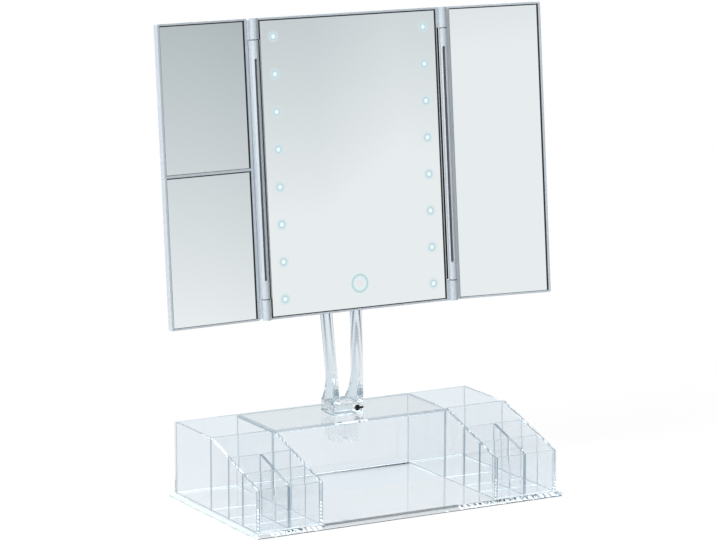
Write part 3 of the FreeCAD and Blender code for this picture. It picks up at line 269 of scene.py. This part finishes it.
# Studio that the mirrors reflect: brightness by direction in degrees, 0 being straight in front of the part.
# Two grey cards, from 8 to 28 and from 30 to 34.5 degrees, darken towards +X, where a dark corner follows.
# All of it darkens upward. The numbers were tuned by comparing renders with the photograph.
WALL_BRIGHTNESS = {
    -180: 0.97, 0: 0.98, 8: 1.02, 28: 0.88, 30: 0.94, 34.5: 0.79, 36: 0.81,
    41: 0.43, 46: 0.27, 125: 0.27, 142: 0.94, 180: 0.97,
}
WALL_SLOPE = 0.04
WALL_SLOPE_REACH = 4.0
WALL_DARK = 0.71
WALL_BRIGHT = 0.905
WALL_SHADE = (1.06, 1.165, 1.21, 1)
WALL_LIGHT = (1.06, 1.1, 1.112, 1)
WALL_GAMMA = 2.2
FULL_TURN = 360.0
EVEN_LIGHT = (0.3, 0.31, 0.32, 1)


def grey(level):
    return (level, level, level, 1)


def toward(vector, direction):
    """The vector or its opposite, whichever points more that way."""
    return vector if vector.dot(direction) > 0 else -vector


class Shader:
    """The node tree of a material or the world, with short ways to add and join nodes."""

    def __init__(self, tree):
        self.tree = tree
        tree.nodes.clear()

    def node(self, kind, **settings):
        made = self.tree.nodes.new(kind)
        for name, value in settings.items():
            setattr(made, name, value)
        return made

    def join(self, source, target):
        self.tree.links.new(source, target)

    def feed(self, target, value):
        """Links a socket or sets a plain value."""
        if isinstance(value, bpy.types.NodeSocket):
            self.join(value, target)
        else:
            target.default_value = value

    def math(self, operation, *values, clamp=False):
        made = self.node("ShaderNodeMath", operation=operation, use_clamp=clamp)
        for target, value in zip(made.inputs, values):
            self.feed(target, value)
        return made.outputs[0]

    def chain(self, operation, first, *others):
        """Applies an operation to the first value and each of the others in turn."""
        for other in others:
            first = self.math(operation, first, other)
        return first

    def above(self, value, limit):
        return self.math("GREATER_THAN", value, limit)

    def below(self, value, limit):
        return self.math("LESS_THAN", value, limit)

    def between(self, value, low, high):
        """1 from low to high, and 0 elsewhere."""
        return self.math("COMPARE", value, (low + high) / 2, (high - low) / 2)

    def vector(self, operation, *values):
        made = self.node("ShaderNodeVectorMath", operation=operation)
        sockets = [made.inputs[0], made.inputs["Scale"]] if operation == "SCALE" else made.inputs
        for target, value in zip(sockets, values):
            self.feed(target, value)
        return made.outputs["Value" if operation in ("DOT_PRODUCT", "LENGTH") else "Vector"]

    def coordinates(self, kind):
        return self.node("ShaderNodeTexCoord").outputs[kind]

    def parts(self, vector):
        """A vector's X, Y and Z, by letter."""
        made = self.node("ShaderNodeSeparateXYZ")
        self.join(vector, made.inputs[0])
        return made.outputs

    def place(self):
        """The point's own coordinates, by letter."""
        return self.parts(self.coordinates("Object"))

    def noise(self, scale, detail=1.0, stretch=(1, 1, 1)):
        place = self.node("ShaderNodeMapping")
        place.inputs["Scale"].default_value = stretch
        self.join(self.coordinates("Object"), place.inputs["Vector"])
        made = self.node("ShaderNodeTexNoise")
        self.join(place.outputs[0], made.inputs["Vector"])
        made.inputs["Scale"].default_value = scale
        made.inputs["Detail"].default_value = detail
        return made.outputs["Fac"]

    def spread(self, value, low, high):
        """Maps a 0 to 1 value to a range."""
        made = self.node("ShaderNodeMapRange")
        self.join(value, made.inputs["Value"])
        made.inputs["To Min"].default_value = low
        made.inputs["To Max"].default_value = high
        return made.outputs["Result"]

    def ramp(self, value, stops, interpolation="LINEAR"):
        made = self.node("ShaderNodeValToRGB")
        self.join(value, made.inputs["Fac"])
        ramp = made.color_ramp
        ramp.interpolation = interpolation
        while len(ramp.elements) < len(stops):
            ramp.elements.new(0.5)
        for element, (position, colour) in zip(ramp.elements, stops):
            element.position = position
            element.color = colour
        return made.outputs["Color"]

    def mix_colour(self, factor, first, second):
        """Mixes two colours, which are the node's inputs 6 and 7 and its output 2."""
        made = self.node("ShaderNodeMix", data_type="RGBA")
        self.feed(made.inputs["Factor"], factor)
        self.feed(made.inputs[6], first)
        self.feed(made.inputs[7], second)
        return made.outputs[2]

    def mix_shader(self, factor, first, second):
        made = self.node("ShaderNodeMixShader")
        self.feed(made.inputs[0], factor)
        self.join(first, made.inputs[1])
        self.join(second, made.inputs[2])
        return made.outputs[0]

    def bump(self, height, strength, distance):
        made = self.node("ShaderNodeBump")
        made.inputs["Strength"].default_value = strength
        made.inputs["Distance"].default_value = distance
        self.join(height, made.inputs["Height"])
        return made.outputs["Normal"]

    def principled(self, **inputs):
        made = self.node("ShaderNodeBsdfPrincipled")
        for name, value in inputs.items():
            self.feed(made.inputs[name.replace("_", " ")], value)
        return made.outputs[0]

    def emission(self, colour):
        made = self.node("ShaderNodeEmission")
        self.feed(made.inputs["Color"], colour)
        return made.outputs[0]

    def see_through(self, colour):
        made = self.node("ShaderNodeBsdfTransparent")
        made.inputs["Color"].default_value = colour
        return made.outputs[0]

    def surface(self, shader):
        output = self.node("ShaderNodeOutputMaterial")
        self.join(shader, output.inputs["Surface"])


def new_material(name):
    material = bpy.data.materials.new(name)
    material.use_nodes = True
    return material, Shader(material.node_tree)


# Materials of the clear pieces
def clear_plastic(name, face_tint, leaves, wave, finish=None, unseen=None):
    """Polished clear plastic: faintly wavy, open to the lamps, bluish at its face and nearly plain behind.

    The tint may be a function with painted shade. finish adds to the surface, and unseen says where it
    doesn't show.
    """
    material, s = new_material(name)
    ripple = s.bump(s.noise(wave), WAVE_STRENGTH, WAVE_HEIGHT)
    polish = {"Roughness": 0.0, "IOR": CLEAR_IOR, "Transmission_Weight": 1.0, "Normal": ripple}
    tint = face_tint if isinstance(face_tint, tuple) else face_tint(s)
    face = s.principled(Base_Color=tint, **polish)
    behind = s.principled(Base_Color=CLEAR_BEHIND, **polish)
    path = s.node("ShaderNodeLightPath").outputs
    shader = s.mix_shader(s.above(path["Ray Depth"], CLEAR_FACE), face, behind)
    if finish:
        shader = finish(s, shader)
    turned_often = s.above(path["Ray Depth"], CLEAR_TURNS)
    shader = s.mix_shader(turned_often, shader, s.see_through(CLEAR_EDGE))
    shader = s.mix_shader(path["Is Shadow Ray"], shader, s.see_through(leaves))
    if unseen:
        shader = s.mix_shader(unseen(s), shader, s.see_through(WHITE))
    s.surface(shader)
    return material


def bonded_foot(s):
    """The foot of the wall under the deck, whose bond with the base plate doesn't show."""
    return s.below(s.place()["Z"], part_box("deck_front_wall")[0][2] + BONDED_FOOT)


def base_satin_and_shade(s, shader):
    """Satin left and right edges of the base plate, and its dark lines of painted shade."""
    satin = s.principled(Base_Color=BASE_SIDE, Roughness=SIDE_ROUGHNESS)
    dark = s.principled(Base_Color=BASE_SHADE, Roughness=DARK_ROUGHNESS, Specular_IOR_Level=0.0)
    across = s.math("ABSOLUTE", s.vector("DOT_PRODUCT", s.coordinates("Normal"), X_AXIS))
    side = s.math("MULTIPLY", s.above(across, SIDE_TURN), SIDE_SHARE)
    return s.mix_shader(base_painted_shade(s), s.mix_shader(side, shader, satin), dark)


def base_painted_shade(s):
    """Painted shade of trapped light and shadow on the base plate: before the rear wall and along the front.
    """
    place = s.place()
    tray_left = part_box("left_inner_wall")[1][0]
    tray_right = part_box("right_inner_wall")[0][0]
    rear_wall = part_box("rear_wall")[0][1]
    plate_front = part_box("base_plate")[0][1]
    top = s.above(place["Z"], EDGE_TOP)
    before_wall = s.between(place["Y"], rear_wall - REAR_LINE_WIDTH, rear_wall)
    in_tray = s.between(place["X"], tray_left, tray_right)
    rightward = s.math("DIVIDE", s.math("SUBTRACT", place["X"], tray_left), tray_right - tray_left)
    rear = s.chain("MULTIPLY", before_wall, top, in_tray, rightward, REAR_LINE)
    on_front = s.below(place["Y"], plate_front + FOOT_REACH)
    foot = s.chain("MULTIPLY", on_front, s.below(place["Z"], EDGE_FOOT), FOOT_LINE)
    before_tray = s.between(place["X"], tray_left, FLECKS_RIGHT)
    front = s.chain("MULTIPLY", s.below(place["Y"], plate_front + FRONT_REACH), top, before_tray, FRONT_LINE)
    before_left_cells = s.between(place["X"], FLECKS_LEFT, tray_left)
    before_cells = s.math("MAXIMUM", before_left_cells, s.above(place["X"], FLECKS_RIGHT))
    fine = s.above(s.noise(FLECK_SCALE, stretch=FLECK_STRETCH), FLECK_LEVEL)
    groups = s.above(s.noise(GROUP_SCALE, stretch=GROUP_STRETCH), GROUP_LEVEL)
    near_edge = s.below(place["Y"], plate_front + FLECKS_REACH)
    above_foot = s.above(place["Z"], FLECKS_FOOT)
    flecks = s.chain("MULTIPLY", near_edge, before_cells, fine, groups, above_foot, FLECKS)
    return s.chain("MAXIMUM", rear, foot, front, flecks)


def leg_streak_shade(s):
    """Painted shade: dark streaks along a moulded leg, strongest at its upper end."""
    place = s.place()
    height = s.math("SUBTRACT", place["Z"], STREAK_FOOT)
    rise = s.math("DIVIDE", height, STREAK_TOP - STREAK_FOOT, clamp=True)
    across = s.math("DIVIDE", place["X"], STREAK_ACROSS)
    deep = s.math("DIVIDE", place["Y"], STREAK_DEEP)
    turn = s.chain("ADD", across, deep, s.noise(STREAK_WANDER, stretch=STREAK_STRETCH))
    swing = s.math("SINE", s.math("MULTIPLY", turn, math.tau))
    lines = s.ramp(swing, [(0.0, BLACK), (STREAK_EDGE, WHITE)])
    outside = s.math("SUBTRACT", 1.0, s.node("ShaderNodeNewGeometry").outputs["Backfacing"])
    strength = s.chain("MULTIPLY", lines, rise, outside)
    return s.mix_colour(strength, MOULDING_TINT, STREAK_SHADE)


# Materials of the mirror head
def painted_shade_lines(s):
    """Painted shade: dark lines at the seams between the barrels and their knuckles, and beside the left
    knuckles.
    """
    axis = hinge("left")
    place = s.place()
    either_side = s.node("ShaderNodeCombineXYZ")
    s.join(s.math("MULTIPLY", s.math("ABSOLUTE", place["X"]), -1.0), either_side.inputs["X"])
    s.join(place["Y"], either_side.inputs["Y"])
    s.join(place["Z"], either_side.inputs["Z"])
    offset = s.vector("SUBTRACT", either_side.outputs[0], axis["point"])
    height = s.vector("DOT_PRODUCT", offset, axis["up"])
    radius = s.vector("LENGTH", s.vector("SUBTRACT", offset, s.vector("SCALE", axis["up"], height)))
    low, high = axis["barrel"]
    from_middle = s.math("ABSOLUTE", s.math("SUBTRACT", height, (low + high) / 2))
    past_end = s.math("SUBTRACT", from_middle, (high - low) / 2)
    at_end = s.below(s.math("ABSOLUTE", past_end), SEAM_HALF)
    seam = s.math("MULTIPLY", at_end, s.below(radius, BARREL_REACH))
    low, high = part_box("centre_liner")
    line = s.between(place["X"], low[0] - KNUCKLE_SHADE_WIDTH, low[0])
    beside_glass = s.between(place["Z"], low[2], high[2])
    front = s.above(s.vector("DOT_PRODUCT", s.coordinates("Normal"), -axis["back"]), FACING)
    line = s.chain("MULTIPLY", line, beside_glass, front, s.above(past_end, 0.0))
    return s.math("MAXIMUM", seam, line)


def silver_plastic():
    """Pale silver moulding with a fine flake, a satin gloss and dark lines of painted shade at the hinges.
    """
    material, s = new_material("silver_plastic")
    flake = s.noise(SILVER_FLAKE)
    cloud = s.noise(SILVER_CLOUD, detail=3.0)
    colour = s.mix_colour(cloud, SILVER_LOW, SILVER_HIGH)
    gloss = s.principled(
        # Painted shade: dark lines at the hinge seams and beside the left knuckles
        Base_Color=s.mix_colour(painted_shade_lines(s), colour, SEAM_SHADE),
        Metallic=SILVER_METALLIC,
        Roughness=s.spread(s.noise(SILVER_GRAIN, detail=4.0), *SILVER_ROUGHNESS),
        Normal=s.bump(flake, SILVER_BUMP, GRAIN_HEIGHT),
    )
    s.surface(gloss)
    return material


def led_distance(s, lights):
    """Distance from the nearest light's centre, measured in the plane of the centre panel."""
    along = s.vector("SUBTRACT", s.coordinates("Object"), lights["first"])
    along = s.vector("DOT_PRODUCT", along, lights["up"])
    across = s.math("SUBTRACT", s.math("ABSOLUTE", s.place()["X"]), lights["x"])
    index = s.math("ROUND", s.math("DIVIDE", along, lights["pitch"]))
    index = s.math("MINIMUM", s.math("MAXIMUM", index, 0.0), float(LED_COUNT - 1))
    beside = s.math("SUBTRACT", along, s.math("MULTIPLY", index, lights["pitch"]))
    squares = s.math("ADD", s.math("MULTIPLY", across, across), s.math("MULTIPLY", beside, beside))
    return s.math("SQRT", squares)


def mirror_glass(name, facing, lights=None):
    """Silvered glass with a ground edge; near the lights and the touch ring it glows faintly."""
    material, s = new_material(name)
    roughness = s.spread(s.noise(MIRROR_SMUDGE, detail=4.0), *MIRROR_ROUGHNESS)
    silver = s.principled(Base_Color=MIRROR_SILVER, Metallic=1.0, Roughness=roughness)
    edge = s.principled(Base_Color=MIRROR_EDGE, Roughness=MIRROR_EDGE_ROUGHNESS)
    turned = s.math("ABSOLUTE", s.vector("DOT_PRODUCT", s.coordinates("Normal"), facing))
    shader = s.mix_shader(s.below(turned, FACING), silver, edge)
    if lights:
        reach = s.math("DIVIDE", led_distance(s, lights), LED_HALO)
        fade = s.ramp(reach, [(LED_EDGE / LED_HALO, grey(LED_GLOW_SHARE)), (1.0, BLACK)], "EASE")
        shader = s.mix_shader(fade, shader, s.emission(LED_GLOW))
        shader = ring_glow(s, shader)
    s.surface(shader)
    return material


def ring_glow(s, shader):
    """Pale light round the touch ring, faintly pink inside it."""
    low, high = (Vector(corner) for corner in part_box("touch_ring"))
    outside = (high.x - low.x) / 2
    reach = outside + RING_FADE
    distance = s.vector("LENGTH", s.vector("SUBTRACT", s.coordinates("Object"), (low + high) / 2))
    share = s.math("DIVIDE", distance, reach)
    colour = s.ramp(share, [(RING_INSIDE / reach, RING_MIDDLE), (outside / 2 / reach, RING_HALO)])
    fade = s.ramp(share, [(outside / reach, grey(RING_GLOW_SHARE)), (1.0, BLACK)], "EASE")
    return s.mix_shader(fade, shader, s.emission(colour))


def lit_plastic(name, roughness, colour_of):
    """Dark plastic that glows in the colour that colour_of makes."""
    material, s = new_material(name)
    lit = s.principled(
        Base_Color=LIT_BODY,
        Roughness=roughness,
        Emission_Color=colour_of(s),
        Emission_Strength=1.0,
    )
    s.surface(lit)
    return material


def light_window(lights):
    """Frosted light window: white in the middle, a cyan ring round it."""
    stops = [(LED_CORE, LED_WHITE), (LED_RING, LED_SHADE), (LED_RIM, LED_SHADE), (LED_EDGE, LED_GLOW)]
    shares = [(radius / LED_HALO, colour) for radius, colour in stops]

    def colour_of(s):
        return s.ramp(s.math("DIVIDE", led_distance(s, lights), LED_HALO), shares)

    return lit_plastic("light_window", WINDOW_ROUGHNESS, colour_of)


def touch_mark():
    """Dimly lit ring of the touch control."""

    def colour_of(s):
        return s.mix_colour(s.noise(RING_GRAIN, detail=2.0), RING_LOW, RING_HIGH)

    return lit_plastic("touch_mark", RING_ROUGHNESS, colour_of)


# Materials of the hardware
def worn(name, low, high, metallic, roughness):
    """Plain finish with a fine grain: two shades, a roughness range and a light bump."""
    material, s = new_material(name)
    texture = s.noise(FINISH_GRAIN, detail=3.0)
    finish = s.principled(
        Base_Color=s.mix_colour(texture, low, high),
        Metallic=metallic,
        Roughness=s.spread(s.noise(FINISH_CLOUD, detail=2.0), *roughness),
        Normal=s.bump(texture, FINISH_BUMP, GRAIN_HEIGHT),
    )
    s.surface(finish)
    return material


def give(nodes, material):
    for node in nodes:
        slots = frame["nodes"][node].data.materials
        slots.clear()
        slots.append(material)


def face_normal(node):
    """Direction of a node's largest flat face."""
    areas = {}
    for polygon in frame["nodes"][node].data.polygons:
        key = tuple(round(v, NORMAL_DIGITS) for v in polygon.normal)
        areas[key] = areas.get(key, 0) + polygon.area
    return Vector(max(areas, key=areas.get)).normalized()


def hinge(side):
    """A wing's hinge at rest: a point on its axis, its directions, and heights along it.

    The directions run up the axis, out along the wing and back.
    """
    joint = next(j for j in frame["joints"] if j["name"] == side + "_wing_fold")
    point = Vector(joint["pos_m"])
    up = toward(Vector(joint["axis"]), Z_AXIS)
    back = toward(face_normal(WING_GLASSES[side]), Y_AXIS)
    out = toward(up.cross(back), X_AXIS * point.x)
    spots = [v.co - point for v in frame["nodes"][side + "_wing_frame"].data.vertices]
    barrel = [p.dot(up) for p in spots if (p - up * p.dot(up)).length < BARREL_REACH]
    heights = [p.dot(up) for p in spots]
    edge = min(p.dot(out) for p in spots if p.dot(up) < min(barrel) - BARREL_RADIUS)
    return {
        "point": point,
        "up": up,
        "out": out,
        "back": back,
        "barrel": (min(barrel), max(barrel)),
        "wing": (min(heights), max(heights)),
        "edge": edge,
    }


def light_places():
    """Where the lights sit: first place, direction up the panel, pitch and distance from the middle."""
    up = toward(X_AXIS.cross(face_normal("centre_glass")), Z_AXIS)
    spots = [v.co for v in frame["nodes"]["led_windows"].data.vertices]
    heights = [spot.dot(up) for spot in spots]
    strips = sorted(spot.x for spot in spots if spot.x > 0)
    radius = (strips[-1] - strips[0]) / 2
    first = min(heights) + radius
    last = max(heights) - radius
    return {
        "first": up * first,
        "up": up,
        "pitch": (last - first) / (LED_COUNT - 1),
        "x": (strips[-1] + strips[0]) / 2,
    }


def dress_nodes():
    """Gives each node its material, and returns the two that added pieces share."""
    lights = light_places()
    slots = {}
    for part in frame["record"]["subparts"]:
        slots.setdefault(part["material_slot"], []).append(part["node"])
    legs = ["left_leg", "right_leg"]
    special = legs + ["stand_foot", "base_plate", "deck_front_wall"]
    sheets = [n for n in slots["clear_plastic"] if n not in special]
    sheet_look = (CLEAR_LEAVES, SHEET_WAVE)
    give(sheets, clear_plastic("clear_sheet", CLEAR_TINT, *sheet_look))
    # Base plate: a darker tint and dark lines, both painted shade
    give(["base_plate"], clear_plastic("clear_base", BASE_SHADED_TINT, *sheet_look, base_satin_and_shade))
    bonded = clear_plastic("clear_bonded", CLEAR_TINT, *sheet_look, unseen=bonded_foot)
    give(["deck_front_wall"], bonded)
    # Legs: dark streaks of painted shade in their tint
    give(legs, clear_plastic("clear_moulding", leg_streak_shade, MOULDING_LEAVES, MOULDING_WAVE))
    give(["stand_foot"], clear_plastic("clear_foot", FOOT_TINT, MOULDING_LEAVES, FOOT_WAVE))
    silver = silver_plastic()
    give(slots["silver_plastic"], silver)
    left_facing = face_normal("left_upper_glass")
    give(["centre_glass"], mirror_glass("centre_mirror", face_normal("centre_glass"), lights))
    give(["left_upper_glass", "left_lower_glass"], mirror_glass("left_mirror", left_facing))
    give(["right_wing_glass"], mirror_glass("right_mirror", face_normal("right_wing_glass")))
    give(slots["light_window"], light_window(lights))
    give(slots["touch_mark"], touch_mark())
    finishes = {slot: worn(slot, *finish) for slot, finish in FINISHES.items()}
    for slot, material in finishes.items():
        give(slots[slot], material)
    return silver, finishes["steel"]


# Pieces added to the solids
def add_piece(name, mesh, body, material):
    mesh.materials.append(material)
    mesh.shade_smooth()
    mesh.set_sharp_from_angle(angle=SMOOTH_ANGLE)
    piece = bpy.data.objects.new(name, mesh)
    bpy.context.scene.collection.objects.link(piece)
    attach(piece, body)
    return piece


def finished_mesh(name, builder):
    mesh = bpy.data.meshes.new(name)
    builder.to_mesh(mesh)
    builder.free()
    return mesh


def join_rings(builder, rings):
    """Closes two rings of corners into a solid."""
    count = len(rings[0])
    for index in range(count):
        after = (index + 1) % count
        builder.faces.new((rings[0][index], rings[0][after], rings[1][after], rings[1][index]))
    for ring in rings:
        builder.faces.new(ring)


def leaf_end_section(edge):
    """Section of a leaf end as distances out along the wing and back: hollow towards the knuckle."""
    radius = BARREL_RADIUS + KNUCKLE_ROOM
    start = math.asin(LEAF_FRONT / radius)
    end = math.acos(LEAF_INNER / radius)
    turns = [start + (end - start) * step / ARC_STEPS for step in range(ARC_STEPS + 1)]
    hollow = [(radius * math.cos(turn), radius * math.sin(turn)) for turn in turns]
    quarter = [math.pi / 2 * step / ARC_STEPS for step in range(ARC_STEPS + 1)]
    out = edge - LEAF_ROUND
    back = LEAF_FRONT + LEAF_ROUND
    rounded = [(out + LEAF_ROUND * math.cos(t), back - LEAF_ROUND * math.sin(t)) for t in quarter]
    return hollow + [(LEAF_INNER, LEAF_BACK), (edge, LEAF_BACK)] + rounded


def leaf_ends(side, silver):
    """The wing's edge carried on beside the two knuckles of its hinge."""
    axis = hinge(side)
    section = leaf_end_section(axis["edge"])
    outline = [axis["point"] + axis["out"] * out + axis["back"] * back for out, back in section]
    low, high = axis["wing"]
    spans = ((low + LEAF_CORNER, axis["barrel"][0]), (axis["barrel"][1], high - LEAF_CORNER))
    builder = bmesh.new()
    for span in spans:
        offsets = [axis["up"] * height for height in span]
        join_rings(builder, [[builder.verts.new(p + offset) for p in outline] for offset in offsets])
    bmesh.ops.recalc_face_normals(builder, faces=builder.faces)
    name = side + "_leaf_ends"
    add_piece(name, finished_mesh(name, builder), side + "_wing", silver)


def turned_screw(length):
    """A screw about the Z axis with its seat at zero: domed head, plain shank and a short point."""
    quarter = [math.pi / 2 * step / ARC_STEPS for step in range(ARC_STEPS)]
    dome = SCREW_HEAD_HEIGHT - SCREW_RIM_HEIGHT
    profile = [(0, -length), (SCREW_RADIUS, SCREW_POINT - length), (SCREW_RADIUS, 0), (SCREW_HEAD_RADIUS, 0)]
    profile += [(SCREW_HEAD_RADIUS * math.cos(t), SCREW_RIM_HEIGHT + dome * math.sin(t)) for t in quarter]
    profile.append((0, SCREW_HEAD_HEIGHT))
    builder = bmesh.new()
    line = [builder.verts.new((radius, 0, height)) for radius, height in profile]
    edges = [builder.edges.new(pair) for pair in zip(line, line[1:])]
    bmesh.ops.spin(
        builder,
        geom=line + edges,
        cent=(0, 0, 0),
        axis=Z_AXIS,
        angle=math.tau,
        steps=SCREW_SIDES,
    )
    bmesh.ops.remove_doubles(builder, verts=builder.verts, dist=WELD)
    bmesh.ops.recalc_face_normals(builder, faces=builder.faces)
    return builder


def cross_cutter():
    """Tapered cross that is cut into a screw's head."""
    arm = [(CROSS_HALF, CROSS_REACH), (CROSS_HALF, CROSS_HALF), (CROSS_REACH, CROSS_HALF)]
    corners = []
    for quarter in range(4):
        turn = Matrix.Rotation(-quarter * math.pi / 2, 2)
        corners += [turn @ Vector(point) for point in arm]
    levels = (
        (SCREW_HEAD_HEIGHT - CROSS_DEPTH, CROSS_TAPER),
        (SCREW_HEAD_HEIGHT + CROSS_DEPTH, 2 - CROSS_TAPER),
    )
    builder = bmesh.new()
    rings = [[builder.verts.new((*(c * share), level)) for c in corners] for level, share in levels]
    join_rings(builder, rings)
    bmesh.ops.recalc_face_normals(builder, faces=builder.faces)
    return builder


def scratch_object(name, builder):
    """Object that is there only while a screw is cut."""
    made = bpy.data.objects.new(name, finished_mesh(name, builder))
    bpy.context.scene.collection.objects.link(made)
    return made


def cross_screw(length):
    """Mesh of one screw with its recess."""
    body = scratch_object("screw_blank", turned_screw(length))
    cutter = scratch_object("cross_cutter", cross_cutter())
    recess = body.modifiers.new("recess", "BOOLEAN")
    recess.operation = "DIFFERENCE"
    recess.object = cutter
    mesh = bpy.data.meshes.new_from_object(body.evaluated_get(bpy.context.evaluated_depsgraph_get()))
    for made in (body, cutter):
        bpy.data.objects.remove(made)
    return mesh


def solids_of(node):
    """Corner points of each separate solid in a node."""
    builder = bmesh.new()
    builder.from_mesh(frame["nodes"][node].data)
    bmesh.ops.remove_doubles(builder, verts=builder.verts, dist=WELD)
    left = list(builder.verts)
    solids = []
    while left:
        solid = set()
        edge = {left[0]}
        while edge:
            solid |= edge
            edge = {e.other_vert(v) for v in edge for e in v.link_edges} - solid
        left = [v for v in left if v not in solid]
        solids.append([v.co.copy() for v in solid])
    builder.free()
    return solids


def cross_screws(node, steel):
    """Screws with cross recesses in the places of a node's plain ones."""
    out = toward(face_normal("centre_glass"), Y_AXIS)
    turn = Matrix((X_AXIS, out.cross(X_AXIS), out)).transposed()
    builder = bmesh.new()
    for solid in solids_of(node):
        local = [turn.transposed() @ point for point in solid]
        low, high = ([pick(p[k] for p in local) for k in range(3)] for pick in (min, max))
        seat = high[2] - SCREW_HEAD_HEIGHT
        place = turn @ Vector(((low[0] + high[0]) / 2, (low[1] + high[1]) / 2, seat))
        mesh = cross_screw(seat - low[2])
        mesh.transform(Matrix.Translation(place) @ turn.to_4x4())
        builder.from_mesh(mesh)
        bpy.data.meshes.remove(mesh)
    mesh = finished_mesh("cross_" + node, builder)
    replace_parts(add_piece("cross_" + node, mesh, "mirror_head", steel), node)


# Studio
def world():
    """White to the eye and through glass, a shaded wall in reflections, and even light on the rest."""
    made = bpy.data.worlds.new("studio")
    made.use_nodes = True
    bpy.context.scene.world = made
    s = Shader(made.node_tree)
    direction = s.parts(s.coordinates("Generated"))
    toward_viewer = s.math("MULTIPLY", direction["Y"], -1.0)
    azimuth = s.math("DEGREES", s.math("ARCTAN2", direction["X"], toward_viewer))
    elevation = s.math("DEGREES", s.math("ARCSINE", direction["Z"]))
    highest = max(WALL_BRIGHTNESS.values())
    stops = []
    for angle, brightness in WALL_BRIGHTNESS.items():
        stops.append((angle / FULL_TURN + 0.5, grey(brightness / highest)))
    level = s.ramp(s.math("ADD", s.math("DIVIDE", azimuth, FULL_TURN), 0.5), stops)
    level = s.math("MULTIPLY", level, highest)
    height = s.math("MINIMUM", s.math("MAXIMUM", elevation, -WALL_SLOPE_REACH), WALL_SLOPE_REACH)
    level = s.math("SUBTRACT", level, s.math("MULTIPLY", height, WALL_SLOPE))
    level = s.math("MINIMUM", level, WALL_BRIGHT)
    span = WALL_BRIGHT - WALL_DARK
    share = s.math("DIVIDE", s.math("SUBTRACT", level, WALL_DARK), span, clamp=True)
    strength = s.math("POWER", level, WALL_GAMMA)
    wall = s.vector("SCALE", s.mix_colour(share, WALL_SHADE, WALL_LIGHT), strength)
    path = s.node("ShaderNodeLightPath").outputs
    clear = s.math("MAXIMUM", path["Is Camera Ray"], path["Is Transmission Ray"])
    colour = s.mix_colour(path["Is Glossy Ray"], EVEN_LIGHT, wall)
    background = s.node("ShaderNodeBackground")
    s.join(s.mix_colour(clear, colour, WHITE), background.inputs["Color"])
    output = s.node("ShaderNodeOutputWorld")
    s.join(background.outputs[0], output.inputs["Surface"])


def floor():
    """White table top that keeps a soft shadow."""
    half = FLOOR_SIZE / 2
    corners = [(-half, -half, 0), (half, -half, 0), (half, half, 0), (-half, half, 0)]
    mesh = bpy.data.meshes.new("floor")
    mesh.from_pydata(corners, [], [(0, 1, 2, 3)])
    table = bpy.data.objects.new("floor", mesh)
    table.location.z = -FLOOR_DROP
    bpy.context.scene.collection.objects.link(table)
    material, s = new_material("floor")
    matte = s.principled(Base_Color=FLOOR_COLOUR, Roughness=FLOOR_ROUGHNESS)
    path = s.node("ShaderNodeLightPath").outputs
    rays = ("Is Camera Ray", "Is Glossy Ray", "Is Transmission Ray")
    seen = s.chain("MAXIMUM", *(path[ray] for ray in rays))
    fade = s.node("ShaderNodeMapRange")
    s.join(s.vector("LENGTH", s.coordinates("Object")), fade.inputs["Value"])
    fade.inputs["From Min"].default_value = FADE_START
    fade.inputs["From Max"].default_value = FADE_END
    fade.inputs["To Min"].default_value = FLOOR_GLOW
    glow_share = s.math("MULTIPLY", seen, fade.outputs["Result"])
    s.surface(s.mix_shader(glow_share, matte, s.emission(WHITE)))
    mesh.materials.append(material)


def lamps():
    for name, (place, size, power) in LAMPS.items():
        data = bpy.data.lights.new(name, "AREA")
        data.size = size
        data.energy = power
        made = bpy.data.objects.new(name, data)
        made.location = place
        made.rotation_euler = (LAMP_AIM - Vector(place)).to_track_quat("-Z", "Y").to_euler()
        bpy.context.scene.collection.objects.link(made)


def camera():
    angles = (CAMERA_AZIMUTH, CAMERA_ELEVATION, CAMERA_ROLL)
    azimuth, elevation, roll = (math.radians(angle) for angle in angles)
    back = Vector((
        math.sin(azimuth) * math.cos(elevation),
        -math.cos(azimuth) * math.cos(elevation),
        math.sin(elevation),
    ))
    level_right = Vector((math.cos(azimuth), math.sin(azimuth), 0))
    level_up = back.cross(level_right)
    right = level_right * math.cos(roll) + level_up * math.sin(roll)
    up = level_up * math.cos(roll) - level_right * math.sin(roll)
    turn = Matrix((right, up, back)).transposed().to_4x4()
    data = bpy.data.cameras.new("camera")
    data.sensor_width = SENSOR_WIDTH
    data.lens = FOCAL_PIXELS * SENSOR_WIDTH / IMAGE_WIDTH
    data.clip_end = CAMERA_CLIP_END
    made = bpy.data.objects.new("camera", data)
    made.matrix_world = Matrix.Translation(CAMERA_TARGET + back * CAMERA_DISTANCE) @ turn
    bpy.context.scene.collection.objects.link(made)
    bpy.context.scene.camera = made


def light_settings():
    """Enough bounces for light to cross all the clear sheets that stand behind one another."""
    scene = bpy.context.scene
    scene.view_settings.view_transform = "Standard"
    scene.cycles.max_bounces = LIGHT_PATHS
    scene.cycles.glossy_bounces = LIGHT_PATHS
    scene.cycles.transmission_bounces = LIGHT_PATHS
    scene.cycles.transparent_max_bounces = LIGHT_PATHS


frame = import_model()
silver, steel = dress_nodes()
for side in WING_GLASSES:
    leaf_ends(side, silver)
for node in ("cover_screws", "bracket_screws"):
    cross_screws(node, steel)
world()
floor()
lamps()
camera()
light_settings()
